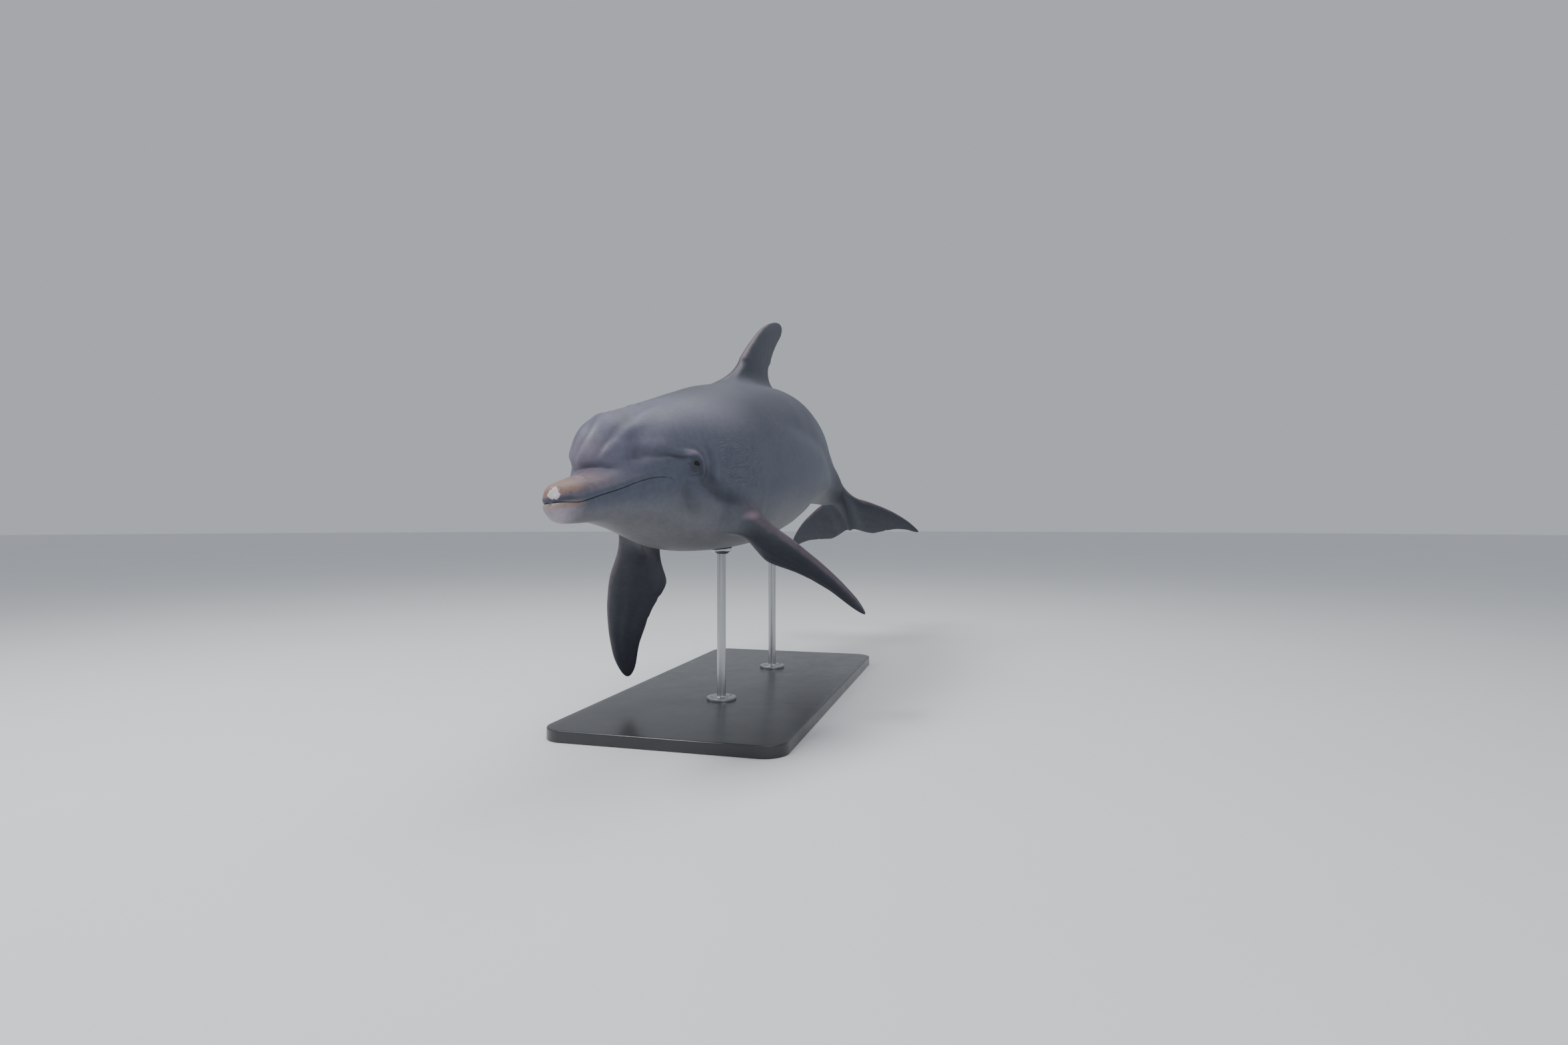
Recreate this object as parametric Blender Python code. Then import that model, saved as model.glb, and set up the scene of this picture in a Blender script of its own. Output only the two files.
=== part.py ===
"""A still, life-size model of a bottlenose dolphin on a plain display stand.

The dolphin is first laid out straight: s runs back along its axis from the beak tip, y goes to its
left and z goes up. The body is a loft of rounded sections with the melon blended in, and each fin is
grafted onto a patch of it. The spine then bends the whole skin into its swimming pose, thin cuts
part it where its parts are named, and the stand is built up to the belly. In the finished model the
dolphin faces -Y, its left side is towards +X, and the origin is under the middle of everything.
"""
import math

import bmesh
import bpy
import numpy as np
from mathutils import Matrix, Vector

# ---- the body, in metres: distance from the beak tip, top line, belly line, half width ----
LENGTH = 2.46
PROFILE = np.array([
    (0.00, 0.0205, -0.0385, 0.0195),
    (0.04, 0.0285, -0.052, 0.0325),
    (0.09, 0.0365, -0.0565, 0.0465),
    (0.13, 0.043, -0.059, 0.059),
    (0.20, 0.075, -0.073, 0.087),
    (0.33, 0.176, -0.114, 0.134),
    (0.45, 0.198, -0.158, 0.162),
    (0.62, 0.222, -0.193, 0.192),
    (0.82, 0.244, -0.220, 0.216),
    (1.02, 0.250, -0.234, 0.225),
    (1.22, 0.243, -0.232, 0.217),
    (1.42, 0.220, -0.212, 0.192),
    (1.62, 0.178, -0.187, 0.157),
    (1.82, 0.131, -0.152, 0.112),
    (2.02, 0.092, -0.119, 0.069),
    (2.18, 0.062, -0.071, 0.040),
    (2.33, 0.030, -0.026, 0.022),
    (2.46, 0.008, -0.008, 0.008),
])
BEAK_START = 0.007                    # where the beak tip begins
BEAK_ROUND = 0.023                    # length over which the beak tip rounds off
BEAK_POWER = 3.0                      # how blunt that rounding is; 2 would be a plain ellipse
TAIL_ROUND = 0.012                    # the same at the notch between the flukes
UNDERBITE = 0.003                     # the lower jaw is this much the longer
MELON_CENTRE = np.array([0.274, 0.0, 0.067])
MELON_RADII = np.array([0.129, 0.0835, 0.102])
RING_LEAN = 1.2                       # how far the rings over the melon lean forward

# ---- the mouth, eyes and blowhole ----
MOUTH_LINE = np.array([(-0.03, -0.009), (0.0, -0.009), (0.05, -0.0145), (0.10, -0.0075),
                       (0.15, 0.0), (0.20, 0.0105), (0.24, 0.0147), (0.275, 0.0115)])
THROAT_END = (0.37, -0.17)            # where the cut behind the lower jaw leaves the throat
CREASE = ((0.118, 0.085), (0.134, 0.036), (0.152, -0.006))
MELON_FRONT = (0.130, 0.036)          # where the cut under the melon meets the crease
MELON_BACK = (0.350, 0.20)            # where it leaves the top of the head
EYE_AT = (0.358, 0.034)               # s and z of each eye on the side of the head
EYE_RADIUS = 0.0145
EYE_BULGE = 0.0022                    # how far the eyeball stands out of the head
BLOWHOLE_AT = 0.372
BLOWHOLE_RADIUS = 0.014
BLOWHOLE_DEPTH = 0.010

# ---- the fins: rows of (share of the span, leading edge, trailing edge) along s ----
DORSAL = {
    "name": "dorsal_fin", "root": (1.023, 0.0, 0.225), "span": 0.270, "lean": 0.135,
    "outline": np.array([(0.0, -0.080, 0.434), (0.12, -0.014, 0.414), (0.3, 0.070, 0.419),
                         (0.5, 0.164, 0.445), (0.7, 0.266, 0.495), (0.85, 0.352, 0.543),
                         (1.0, 0.444, 0.600)]),
    "thick": 0.053, "thinning": 0.6, "tip_thick": 0.007, "round_from": 0.78, "starts": 0.30,
    "patch": (0.91, 1.44), "column": 0, "half_columns": 1, "curl": 0.0, "twist": 0.0, "pull": 1.0,
}
FLIPPER = {
    "span": 0.412, "chord": 0.93,
    "outline": np.array([(0.0, 0.005, 0.108), (0.15, -0.006, 0.127), (0.3, -0.004, 0.168),
                         (0.5, 0.018, 0.154), (0.7, 0.055, 0.157), (0.85, 0.092, 0.170),
                         (1.0, 0.135, 0.190)]),
    "thick": 0.044, "thinning": 0.75, "tip_thick": 0.006, "round_from": 0.86, "starts": 0.16,
    "patch": (0.495, 0.695), "half_columns": 2, "pull": 0.7,
}
UNTWISTED = 0.75                      # share of the span where a fin's twist has faded
# side and root of each flipper, its sweep, droop and feather, curl of its tip, twist of its root
FLIPPER_POSE = {
    "flipper_left": (1, (0.538, 0.168, -0.089), -0.208, -0.658, 0.525, -0.004, -0.21),
    "flipper_right": (-1, (0.538, -0.150, -0.115), -0.072, -0.972, 1.007, 0.002, -0.30),
}
FLUKE = {
    "span": 0.308,
    "outline": np.array([(0.0, 2.160, 2.452), (0.1, 2.205, 2.484), (0.25, 2.255, 2.495),
                         (0.45, 2.306, 2.488), (0.65, 2.359, 2.484), (0.82, 2.418, 2.496),
                         (1.0, 2.50, 2.535)]),
    "thick": 0.036, "thinning": 0.9, "tip_thick": 0.006, "round_from": 0.88, "starts": 0.20,
    "patch": (2.14, 2.44), "half_columns": 2, "curl": 0.0, "twist": 0.0, "pull": 0.3,
}

# ---- the pose: angles in radians that build up along the body between two stations ----
STRAIGHT_AT = 0.89
TAIL_BEND = {"from": 1.19, "to": 2.24, "yaw": -0.144, "pitch": -0.446, "roll": 0.114}
FLUKE_BEND = {"from": 2.04, "to": 2.39, "yaw": 0.039, "pitch": -0.496, "roll": 0.0}
HEAD_BEND = {"from": 0.74, "to": 0.24, "yaw": -0.068, "pitch": -0.048, "roll": 0.046}
NOSE_DOWN = 0.149
BANK = 0.067

# ---- how finely the skin is divided ----
COLUMNS = 32
RING_ZONES = ((0.03, 0.15, 4), (0.15, 0.21, 4), (0.21, 0.33, 8), (0.33, 0.46, 4), (0.46, 0.495, 1),
              (0.495, 0.695, 4), (0.695, 0.91, 3), (0.91, 1.44, 8), (1.44, 2.14, 9),
              (2.14, 2.44, 7))
TIP_RINGS = 3
FIN_ROWS = 5
TIP_ROWS = 3
FILLET_ROWS = 3

# ---- the cuts and the stand ----
GAP = 0.0004                          # width of every thin cut, and clearance of fitted pieces
REACH = 0.32                          # a cut this wide passes right through the body
FIN_REACH = 0.12                      # and this wide through the root of a dorsal fin or fluke
FLIPPER_REACH = 0.045                 # and through a flipper, without touching the chest
FLIPPER_MARGIN = 0.02                 # past the flipper's edges at each end
NECK_AT = 0.462
CHEST_AT = 0.88
LOIN_AT = 1.50
FLUKE_CUT = 0.036                     # distance from the tail's middle to each fluke
FLUKE_FLARE = 0.045                   # the cut starts this much further out, beside the stock
FLUKE_FLARE_LENGTH = 0.15
FLUKE_CUT_ENDS = (2.11, 2.56)
MELON_SAG = 0.030                     # how far the cut under the melon dips between its ends
FLIPPER_CUT = 0.185                   # share of the span where the flipper is parted
DORSAL_CUT = ((0.88, 0.290), (1.50, 0.245))   # s and z of its ends, over the back

FLIPPER_CLEARANCE = 0.075             # lowest flipper tip to the top of the base
BASE_SIZE = (0.62, 1.30, 0.030)
BASE_CORNER = 0.06
BASE_EDGE = 0.004
BASE_STATION = 1.06                   # the base's middle is under this station of the body
ROD_STATIONS = {"front": 0.80, "rear": 1.33}
ROD_RADIUS = 0.0125
FLANGE = {"outer": 0.042, "height": 0.012}
CUP = {"outer": 0.030, "below": 0.016}
OVERLAP = 0.02                        # rods and cups are built this far into the belly, then cut
ROUND_SIDES = 20

SKIN_GREY = (0.20, 0.225, 0.27)
SKIN_DARK = (0.09, 0.105, 0.135)
SKIN_PALE = (0.36, 0.36, 0.36)
BEAK_TAN = (0.36, 0.31, 0.28)
EYE_BROWN = (0.025, 0.014, 0.008)
STEEL = (0.55, 0.56, 0.57)
BASE_BLACK = (0.035, 0.036, 0.038)


def ease(x, start, end):
    """0 before start, 1 after end, and a smooth step between them."""
    t = np.clip((np.asarray(x, float) - start) / (end - start), 0.0, 1.0)
    return t * t * (3.0 - 2.0 * t)


def through(xs, ys, x):
    """A smooth curve through the stations that never overshoots them."""
    x = np.asarray(x, float)
    width = np.diff(xs)
    slope = np.diff(ys) / width
    before, after = slope[:-1], slope[1:]
    same_way = before * after > 0
    tangent = np.empty(len(xs))
    tangent[1:-1] = np.where(same_way, 2 * before * after / np.where(same_way, before + after, 1), 0)
    tangent[0], tangent[-1] = slope[0], slope[-1]
    i = np.clip(np.searchsorted(xs, x, side="right") - 1, 0, len(xs) - 2)
    t = np.clip((x - xs[i]) / width[i], 0.0, 1.0)
    return ((1 + 2 * t) * (1 - t) ** 2 * ys[i] + t * (1 - t) ** 2 * width[i] * tangent[i]
            + t * t * (3 - 2 * t) * ys[i + 1] + t * t * (t - 1) * width[i] * tangent[i + 1])


def profile(column, s):
    return through(PROFILE[:, 0], PROFILE[:, column], s)


def axis_height(s):
    return (profile(1, s) + profile(2, s)) / 2


def girth(s, angle):
    """Distance from the axis to the side of the plain body, at an angle from straight up."""
    middle = axis_height(s)
    from_tip = (1 - np.clip((s - BEAK_START) / BEAK_ROUND, 0, 1)) ** BEAK_POWER
    blunt = np.clip(1 - from_tip, 1e-6, 1) ** (1 / BEAK_POWER)
    blunt = blunt * np.sqrt(np.clip(1 - (1 - np.clip((LENGTH - s) / TAIL_ROUND, 0, 1)) ** 2, 1e-6, 1))
    half_height = np.where(np.cos(angle) > 0, profile(1, s) - middle, middle - profile(2, s)) * blunt
    half_width = profile(3, s) * blunt
    power = 2.2 - 0.45 * ease(s, 1.5, 2.0) + 0.45 * ease(s, 2.15, 2.35)
    sides = np.abs(np.sin(angle) / half_width) ** power + np.abs(np.cos(angle) / half_height) ** power
    return sides ** (-1 / power)


def depth_field(q):
    """Below zero inside the body with its melon, above zero outside; q holds straight points."""
    s = np.clip(q[..., 0], 1e-4, LENGTH - 1e-4)
    z = q[..., 2] - axis_height(s)
    plain = np.hypot(q[..., 1], z) - girth(s, np.arctan2(q[..., 1], z))
    p = q - MELON_CENTRE
    near = np.linalg.norm(p / MELON_RADII, axis=-1)
    slope = np.linalg.norm(p / MELON_RADII ** 2, axis=-1) + 1e-9
    melon = near * (near - 1) / slope
    softness = 0.008 + 0.03 * ease(s, 0.13, 0.29)
    share = np.clip(0.5 + 0.5 * (melon - plain) / softness, 0.0, 1.0)
    return melon * (1 - share) + plain * share - softness * share * (1 - share)


def cast(start, ray, reach=0.3, halvings=20):
    """Where rays from inside the body leave it."""
    low = np.zeros(start.shape[:-1])
    high = low + reach
    for _ in range(halvings):
        middle = (low + high) / 2
        inside = depth_field(start + ray * middle[..., None]) < 0
        low = np.where(inside, middle, low)
        high = np.where(inside, high, middle)
    return start + ray * ((low + high) / 2)[..., None]


def side_point(s, z, side):
    """The point of the body's side at station s and height z."""
    return cast(np.array([s, 0.0, z]), np.array([0.0, float(side), 0.0]))


def ring_stations():
    """Stations of the rings: rounded ends, and even spacing inside each zone."""
    steps = np.linspace(0, math.pi / 2, TIP_RINGS + 2)[1:-1]
    parts = [BEAK_START + BEAK_ROUND * (1 - np.cos(steps))]
    for start, end, count in RING_ZONES:
        parts.append(np.linspace(start, end, count, endpoint=False))
    parts.append([RING_ZONES[-1][1]])
    steps = np.linspace(0, math.pi / 2, TIP_RINGS + 1)[1:]
    parts.append(LENGTH - TAIL_ROUND * (1 - np.cos(steps))[::-1])
    return np.concatenate(parts)


def body_grid(stations):
    """Rings of skin points; those over the melon lean forward to meet its steep front."""
    angles = np.arange(COLUMNS) * 2 * math.pi / COLUMNS
    s, angle = np.meshgrid(stations, angles, indexing="ij")
    up = np.cos(angle)
    lean = RING_LEAN * ease(s, 0.05, 0.19) * (1 - ease(s, 0.20, 0.33)) * np.clip(up, 0, 1) ** 3
    start = np.stack([s, 0 * s, axis_height(s)], -1)
    grid = cast(start, np.stack([-lean, np.sin(angle), up], -1))
    grid[..., 0] -= UNDERBITE * (1 - ease(s, 0, 0.06)) * ease(-grid[..., 2], 0.006, 0.014)
    return grid


def turn(axis, angle):
    return np.array(Matrix.Rotation(angle, 3, axis))


def all_fins():
    """Every fin with its root, chord and span directions in straight space."""
    lean = DORSAL["lean"]
    fins = [dict(DORSAL, chord_dir=np.array([1.0, 0, 0]), root=np.array(DORSAL["root"]),
                 span_dir=np.array([0, math.sin(lean), math.cos(lean)]))]
    for name, (side, root, sweep, droop, feather, curl, twist) in FLIPPER_POSE.items():
        mirror = np.array([1.0, side, 1.0])
        aim = turn("Z", sweep) @ turn("X", droop) @ turn("Y", feather)
        outline = FLIPPER["outline"].copy()
        middle = outline[:, 1:].mean(axis=1, keepdims=True)
        outline[:, 1:] = middle + (outline[:, 1:] - middle) * FLIPPER["chord"]
        column = 11 if side > 0 else COLUMNS - 11
        fins.append(dict(FLIPPER, name=name, outline=outline, column=column, curl=curl, twist=twist,
                         root=np.array(root),
                         chord_dir=aim[:, 0] * mirror, span_dir=aim[:, 1] * mirror))
    for name, side in (("fluke_left", 1), ("fluke_right", -1)):
        column = COLUMNS // 4 if side > 0 else COLUMNS - COLUMNS // 4
        fins.append(dict(FLUKE, name=name, column=column, root=np.zeros(3),
                         chord_dir=np.array([1.0, 0, 0]), span_dir=np.array([0, float(side), 0])))
    return fins


def twisted(fin, normal, share):
    """Chord and normal of a fin, turned about its span by its twist."""
    twist = fin["twist"] * (1 - ease(share, 0, UNTWISTED))
    return (fin["chord_dir"] * math.cos(twist) + normal * math.sin(twist),
            normal * math.cos(twist) - fin["chord_dir"] * math.sin(twist))


def fin_ring(fin, normal, share, angles):
    """One section of a fin: angle 0 is its leading edge and pi its trailing edge."""
    outline = fin["outline"]
    lead = through(outline[:, 0], outline[:, 1], share)
    trail = through(outline[:, 0], outline[:, 2], share)
    start = fin["round_from"]
    rounding = math.sqrt(max(0.0, 1 - max(0.0, (share - start) / (1 - start)) ** 2))
    half_chord = (trail - lead) / 2 * max(rounding, 0.02)
    thick = (fin["thick"] * (1 - share) ** fin["thinning"] + fin["tip_thick"]) * max(rounding, 0.05)
    back = (1 - np.cos(angles)) / 2
    height = thick * 0.625 * np.sin(angles) * (1 - 0.55 * back) + fin["curl"] * share ** 2
    along = (lead + trail) / 2 - half_chord * np.cos(angles)
    chord_dir, normal = twisted(fin, normal, share)
    return (fin["root"] + fin["span_dir"] * share * fin["span"]
            + along[:, None] * chord_dir + height[:, None] * normal)


def patch_loop(grid, fin, stations):
    """Grid places round the patch that a fin grows from, with their directions from its middle."""
    first, last = (int(np.argmin(abs(stations - end))) for end in fin["patch"])
    column, half = fin["column"], fin["half_columns"]
    loop = [(first, column + k) for k in range(half)]
    loop += [(i, column + half) for i in range(first, last)]
    loop += [(last, column + k) for k in range(half, -half, -1)]
    loop += [(i, column - half) for i in range(last, first, -1)]
    loop += [(first, column + k) for k in range(-half, 0)]
    tangents = []
    for i, j in loop:
        here = grid[i, j % COLUMNS]
        outside = []
        if i == first:
            outside.append(grid[i - 1, j % COLUMNS])
        if i == last:
            outside.append(grid[i + 1, j % COLUMNS])
        if j == column + half:
            outside.append(grid[i, (j + 1) % COLUMNS])
        if j == column - half:
            outside.append(grid[i, (j - 1) % COLUMNS])
        inward = sum((here - p) / np.linalg.norm(here - p) for p in outside)
        tangents.append(inward / np.linalg.norm(inward))
    half_rings = (last - first) / 2
    around = [math.atan2((j - column) / half, (first + half_rings - i) / half_rings)
              for i, j in loop]
    removed = {(i, j % COLUMNS) for i in range(first, last)
               for j in range(column - half, column + half)}
    return loop, np.array(tangents), np.array(around) % (2 * math.pi), removed


def graft(grid, fin, stations):
    """Rings of a fin from the edge of its patch to its tip, and where its leading edge starts."""
    loop, tangents, around, removed = patch_loop(grid, fin, stations)
    count = len(loop)
    edge = np.array([grid[i, j % COLUMNS] for i, j in loop])
    column, half = fin["column"], fin["half_columns"]
    middle = (loop[0][0] + max(i for i, _ in loop)) // 2
    across = grid[middle, (column + half) % COLUMNS] - grid[middle, (column - half) % COLUMNS]
    across /= np.linalg.norm(across)
    skew = math.atan2(-fin["chord_dir"] @ across, fin["chord_dir"][0])
    normal = np.cross(fin["chord_dir"], fin["span_dir"])
    if normal @ (math.sin(skew) * np.array([1.0, 0, 0]) + math.cos(skew) * across) < 0:
        normal = -normal
        fin = dict(fin, curl=-fin["curl"], twist=-fin["twist"])
    step = 2 * math.pi / count
    shift = round(skew / step)
    even = (np.arange(count) - shift) * step
    at_root = even + (around - skew - even + math.pi) % (2 * math.pi) - math.pi

    start, rounded = fin["starts"], fin["round_from"]
    shares = list(np.linspace(start, rounded, FIN_ROWS))
    shares += list(rounded + (1 - rounded) * np.sin(np.linspace(0, math.pi / 2, TIP_ROWS + 1)[1:]))
    rings = []
    for share in shares:
        settled = ease(share, start, start + 0.25)
        rings.append(fin_ring(fin, normal, share, at_root * (1 - settled) + even * settled))

    outward = fin_ring(fin, normal, start + 0.001, at_root) - rings[0]
    outward /= np.linalg.norm(outward, axis=1)[:, None]
    pull = np.linalg.norm(rings[0] - edge, axis=1)[:, None] * fin["pull"]
    fillet = []
    for t in np.arange(1, FILLET_ROWS) / FILLET_ROWS:
        fillet.append((1 + 2 * t) * (1 - t) ** 2 * edge + t * (1 - t) ** 2 * pull * tangents
                      + t * t * (3 - 2 * t) * rings[0] + t * t * (t - 1) * pull * outward)
    return loop, fillet + rings, shift % count, removed


def skin_faces():
    """The whole dolphin in straight space: points and faces of one closed skin."""
    stations = ring_stations()
    grid = body_grid(stations)
    ring_count = len(stations)
    index = np.arange(ring_count * COLUMNS).reshape(ring_count, COLUMNS)
    points = [tuple(p) for p in grid.reshape(-1, 3)]
    faces = []
    removed = set()
    for fin in all_fins():
        loop, rings, lead, patch = graft(grid, fin, stations)
        removed |= patch
        count = len(loop)
        previous = [int(index[i, j % COLUMNS]) for i, j in loop]
        for ring in rings:
            current = list(range(len(points), len(points) + count))
            points += [tuple(p) for p in ring]
            for k in range(count):
                after = (k + 1) % count
                faces.append((previous[k], previous[after], current[after], current[k]))
            previous = current
        for k in range(count // 2):
            corners = [previous[(lead + k) % count], previous[(lead + k + 1) % count],
                       previous[(lead - k - 1) % count], previous[(lead - k) % count]]
            faces.append(tuple(dict.fromkeys(corners)))
    for i in range(ring_count - 1):
        for j in range(COLUMNS):
            if (i, j) not in removed:
                after = (j + 1) % COLUMNS
                faces.append((index[i, j], index[i, after], index[i + 1, after], index[i + 1, j]))
    nose = len(points)
    points += [(BEAK_START - UNDERBITE / 2, 0.0, grid[0, :, 2].mean()), (LENGTH, 0.0, grid[-1, :, 2].mean())]
    for j in range(COLUMNS):
        after = (j + 1) % COLUMNS
        faces.append((nose, index[0, after], index[0, j]))
        faces.append((nose + 1, index[-1, j], index[-1, after]))
    return np.array(points), [tuple(int(v) for v in face) for face in faces if len(face) > 2]


def spine():
    """Stations every centimetre along the bent spine, with its points and directions."""
    step = 0.01
    stations = np.arange(-0.2, LENGTH + 0.3, step)
    yaw, pitch, roll = (sum(bend[key] * ease_between(stations, bend)
                            for bend in (TAIL_BEND, FLUKE_BEND, HEAD_BEND))
                        for key in ("yaw", "pitch", "roll"))
    turns = np.array([turn("Z", a) @ turn("Y", b) @ turn("X", c)
                      for a, b, c in zip(yaw, pitch, roll)])
    forward = turns[:, :, 0]
    points = np.zeros((len(stations), 3))
    points[1:] = np.cumsum(-(forward[1:] + forward[:-1]) / 2 * step, axis=0)
    points -= points[int(round((STRAIGHT_AT - stations[0]) / step))]
    return stations, points, turns


def ease_between(stations, bend):
    """How much of a bend has built up; a bend towards the head runs forward."""
    if bend["to"] < bend["from"]:
        return 1 - ease(stations, bend["to"], bend["from"])
    return ease(stations, bend["from"], bend["to"])


SPINE = spine()


def place(straight):
    """Straight points bent along the spine, then pitched, banked and turned to face -Y."""
    stations, points, turns = SPINE
    straight = np.atleast_2d(straight)
    f = np.clip((straight[:, 0] - stations[0]) / (stations[1] - stations[0]), 0, len(stations) - 1.001)
    i = f.astype(int)
    t = (f - i)[:, None]
    centre = points[i] * (1 - t) + points[i + 1] * t
    frame = turns[i] * (1 - t[:, :, None]) + turns[i + 1] * t[:, :, None]
    bent = centre + frame[:, :, 1] * straight[:, 1:2] + frame[:, :, 2] * straight[:, 2:3]
    bent = bent @ (turn("Y", NOSE_DOWN) @ turn("X", BANK)).T
    return np.stack([bent[:, 1], -bent[:, 0], bent[:, 2]], axis=1)


def finish(name, colour, roughness, metallic=0.0):
    """A plain Principled material for one node."""
    material = bpy.data.materials.new(name)
    material.use_nodes = True
    shader = material.node_tree.nodes["Principled BSDF"]
    shader.inputs["Base Color"].default_value = (*colour, 1.0)
    shader.inputs["Roughness"].default_value = roughness
    shader.inputs["Metallic"].default_value = metallic
    return material


def add_object(name, points, faces):
    mesh = bpy.data.meshes.new(name)
    mesh.from_pydata([tuple(map(float, p)) for p in points], [], faces)
    mesh.update()
    obj = bpy.data.objects.new(name, mesh)
    bpy.context.scene.collection.objects.link(obj)
    return obj


def add_bmesh(name, bm):
    mesh = bpy.data.meshes.new(name)
    bm.to_mesh(mesh)
    bm.free()
    obj = bpy.data.objects.new(name, mesh)
    bpy.context.scene.collection.objects.link(obj)
    return obj


def boolean(obj, cutter, operation="DIFFERENCE"):
    """Apply one Boolean to an object's mesh and remove the cutter."""
    cutter.display_type = "WIRE"
    cutter.hide_render = True
    step = obj.modifiers.new("cut", "BOOLEAN")
    step.solver = "EXACT"
    step.use_self = True
    step.operation = operation
    step.object = cutter
    depsgraph = bpy.context.evaluated_depsgraph_get()
    mesh = bpy.data.meshes.new_from_object(obj.evaluated_get(depsgraph))
    obj.modifiers.clear()
    obj.data = mesh
    bpy.data.objects.remove(cutter)


def sheet(path, across):
    """A thin curved sheet in straight space: a line of points swept to both sides."""
    path = np.array(path, float)
    across = np.array(across, float)
    ahead = np.gradient(path, axis=0)
    normal = np.cross(ahead, across)
    normal /= np.linalg.norm(normal, axis=1)[:, None]
    rows = []
    for p, n in zip(path, normal):
        half = n * GAP / 2
        rows += [p - across + half, p + across + half, p + across - half, p - across - half]
    faces = [(0, 1, 2, 3)]
    for k in range(0, 4 * (len(path) - 1), 4):
        upper = [(k, k + 4, k + 5), (k, k + 5, k + 1)]
        lower = [(k + 2, k + 6, k + 3), (k + 6, k + 7, k + 3)]
        rims = [(k + 1, k + 5, k + 6, k + 2), (k + 3, k + 7, k + 4, k)]
        faces += upper + lower + rims
    end = 4 * (len(path) - 1)
    faces.append((end + 3, end + 2, end + 1, end))
    obj = add_object("sheet", place(np.array(rows)), faces)
    bm = bmesh.new()
    bm.from_mesh(obj.data)
    bmesh.ops.recalc_face_normals(bm, faces=bm.faces)
    bm.to_mesh(obj.data)
    bm.free()
    return obj


def line(start, end, count=2):
    return np.linspace(np.array(start, float), np.array(end, float), count)


def cross_cut(s):
    """A sheet right across the body at one station."""
    return sheet(line((s, 0, -REACH), (s, 0, REACH)), (0, REACH, 0))


def mouth_cut():
    """Along the mouth line from the beak tip to its corner, then down through the throat."""
    s = np.linspace(MOUTH_LINE[0, 0], MOUTH_LINE[-1, 0], 9)
    z = through(MOUTH_LINE[:, 0], MOUTH_LINE[:, 1], s)
    path = [(a, 0, b) for a, b in zip(s, z)]
    path.append((THROAT_END[0], 0, THROAT_END[1]))
    return sheet(path, (0, REACH, 0))


def beak_cut():
    """Down the crease in front of the melon to the mouth line."""
    return sheet([(s, 0, z) for s, z in CREASE], (0, REACH, 0))


def melon_cut():
    """Under the melon, from the crease up and back to the top of the head."""
    start, end = np.array(MELON_FRONT), np.array(MELON_BACK)
    sag = (start + end) / 2 - np.array([0.0, MELON_SAG])
    t = np.linspace(0, 1, 5)[:, None]
    curve = (1 - t) ** 2 * start + 2 * t * (1 - t) * sag + t ** 2 * end
    return sheet([(a, 0, b) for a, b in curve], (0, REACH, 0))


def dorsal_cut():
    """Just over the back, where only the fin stands."""
    (s, z), (end_s, end_z) = DORSAL_CUT
    return sheet(line((s, 0, z), (end_s, 0, end_z)), (0, FIN_REACH, 0))


def flipper_cut(fin):
    """Across a flipper, just off the chest."""
    outline = fin["outline"]
    lead, trail = outline[1, 1] - FLIPPER_MARGIN, outline[1, 2] + FLIPPER_MARGIN
    centre = fin["root"] + fin["span_dir"] * fin["span"] * FLIPPER_CUT
    chord_dir, normal = twisted(fin, np.cross(fin["chord_dir"], fin["span_dir"]), FLIPPER_CUT)
    ends = [centre + chord_dir * reach for reach in (lead, trail)]
    return sheet(line(ends[0], ends[1]), normal * FLIPPER_REACH)


def fluke_cut(side):
    """Beside the tail, where a fluke begins."""
    s = np.linspace(*FLUKE_CUT_ENDS, 8)
    out = FLUKE_CUT + FLUKE_FLARE * (1 - ease(s, s[0], s[0] + FLUKE_FLARE_LENGTH))
    return sheet([(a, side * b, 0) for a, b in zip(s, out)], (0, 0, FIN_REACH))


def whole_dolphin():
    points, faces = skin_faces()
    obj = add_object("dolphin_skin", place(points), faces)
    bm = bmesh.new()
    bm.from_mesh(obj.data)
    bmesh.ops.recalc_face_normals(bm, faces=bm.faces)
    bm.to_mesh(obj.data)
    bm.free()
    return obj


def ball(name, centre, radius):
    bm = bmesh.new()
    bmesh.ops.create_uvsphere(bm, u_segments=14, v_segments=8, radius=radius)
    bmesh.ops.translate(bm, vec=Vector(centre), verts=bm.verts)
    return add_bmesh(name, bm)


def eye_centre(side):
    """Set back from the side of the head so that only the bulge stands out."""
    surface = side_point(EYE_AT[0], EYE_AT[1], side)
    around = [surface]
    for s, z in ((EYE_AT[0] + 0.01, EYE_AT[1]), (EYE_AT[0], EYE_AT[1] + 0.01)):
        around.append(side_point(s, z, side))
    normal = np.cross(around[1] - surface, around[2] - surface)
    normal *= side * np.sign(normal[1]) / np.linalg.norm(normal)
    return place(surface - normal * (EYE_RADIUS - EYE_BULGE))[0]


def drum(name, centre, up, radius, height, depth):
    """A short cylinder about an axis, from a depth below its centre to a height above it."""
    bm = bmesh.new()
    bmesh.ops.create_cone(bm, cap_ends=True, segments=ROUND_SIDES, radius1=radius, radius2=radius,
                          depth=height + depth)
    bmesh.ops.translate(bm, vec=Vector((0, 0, (height - depth) / 2)), verts=bm.verts)
    tilt = Vector((0, 0, 1)).rotation_difference(Vector(up)).to_matrix()
    bmesh.ops.rotate(bm, matrix=tilt, verts=bm.verts)
    bmesh.ops.translate(bm, vec=Vector(centre), verts=bm.verts)
    return add_bmesh(name, bm)


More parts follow.
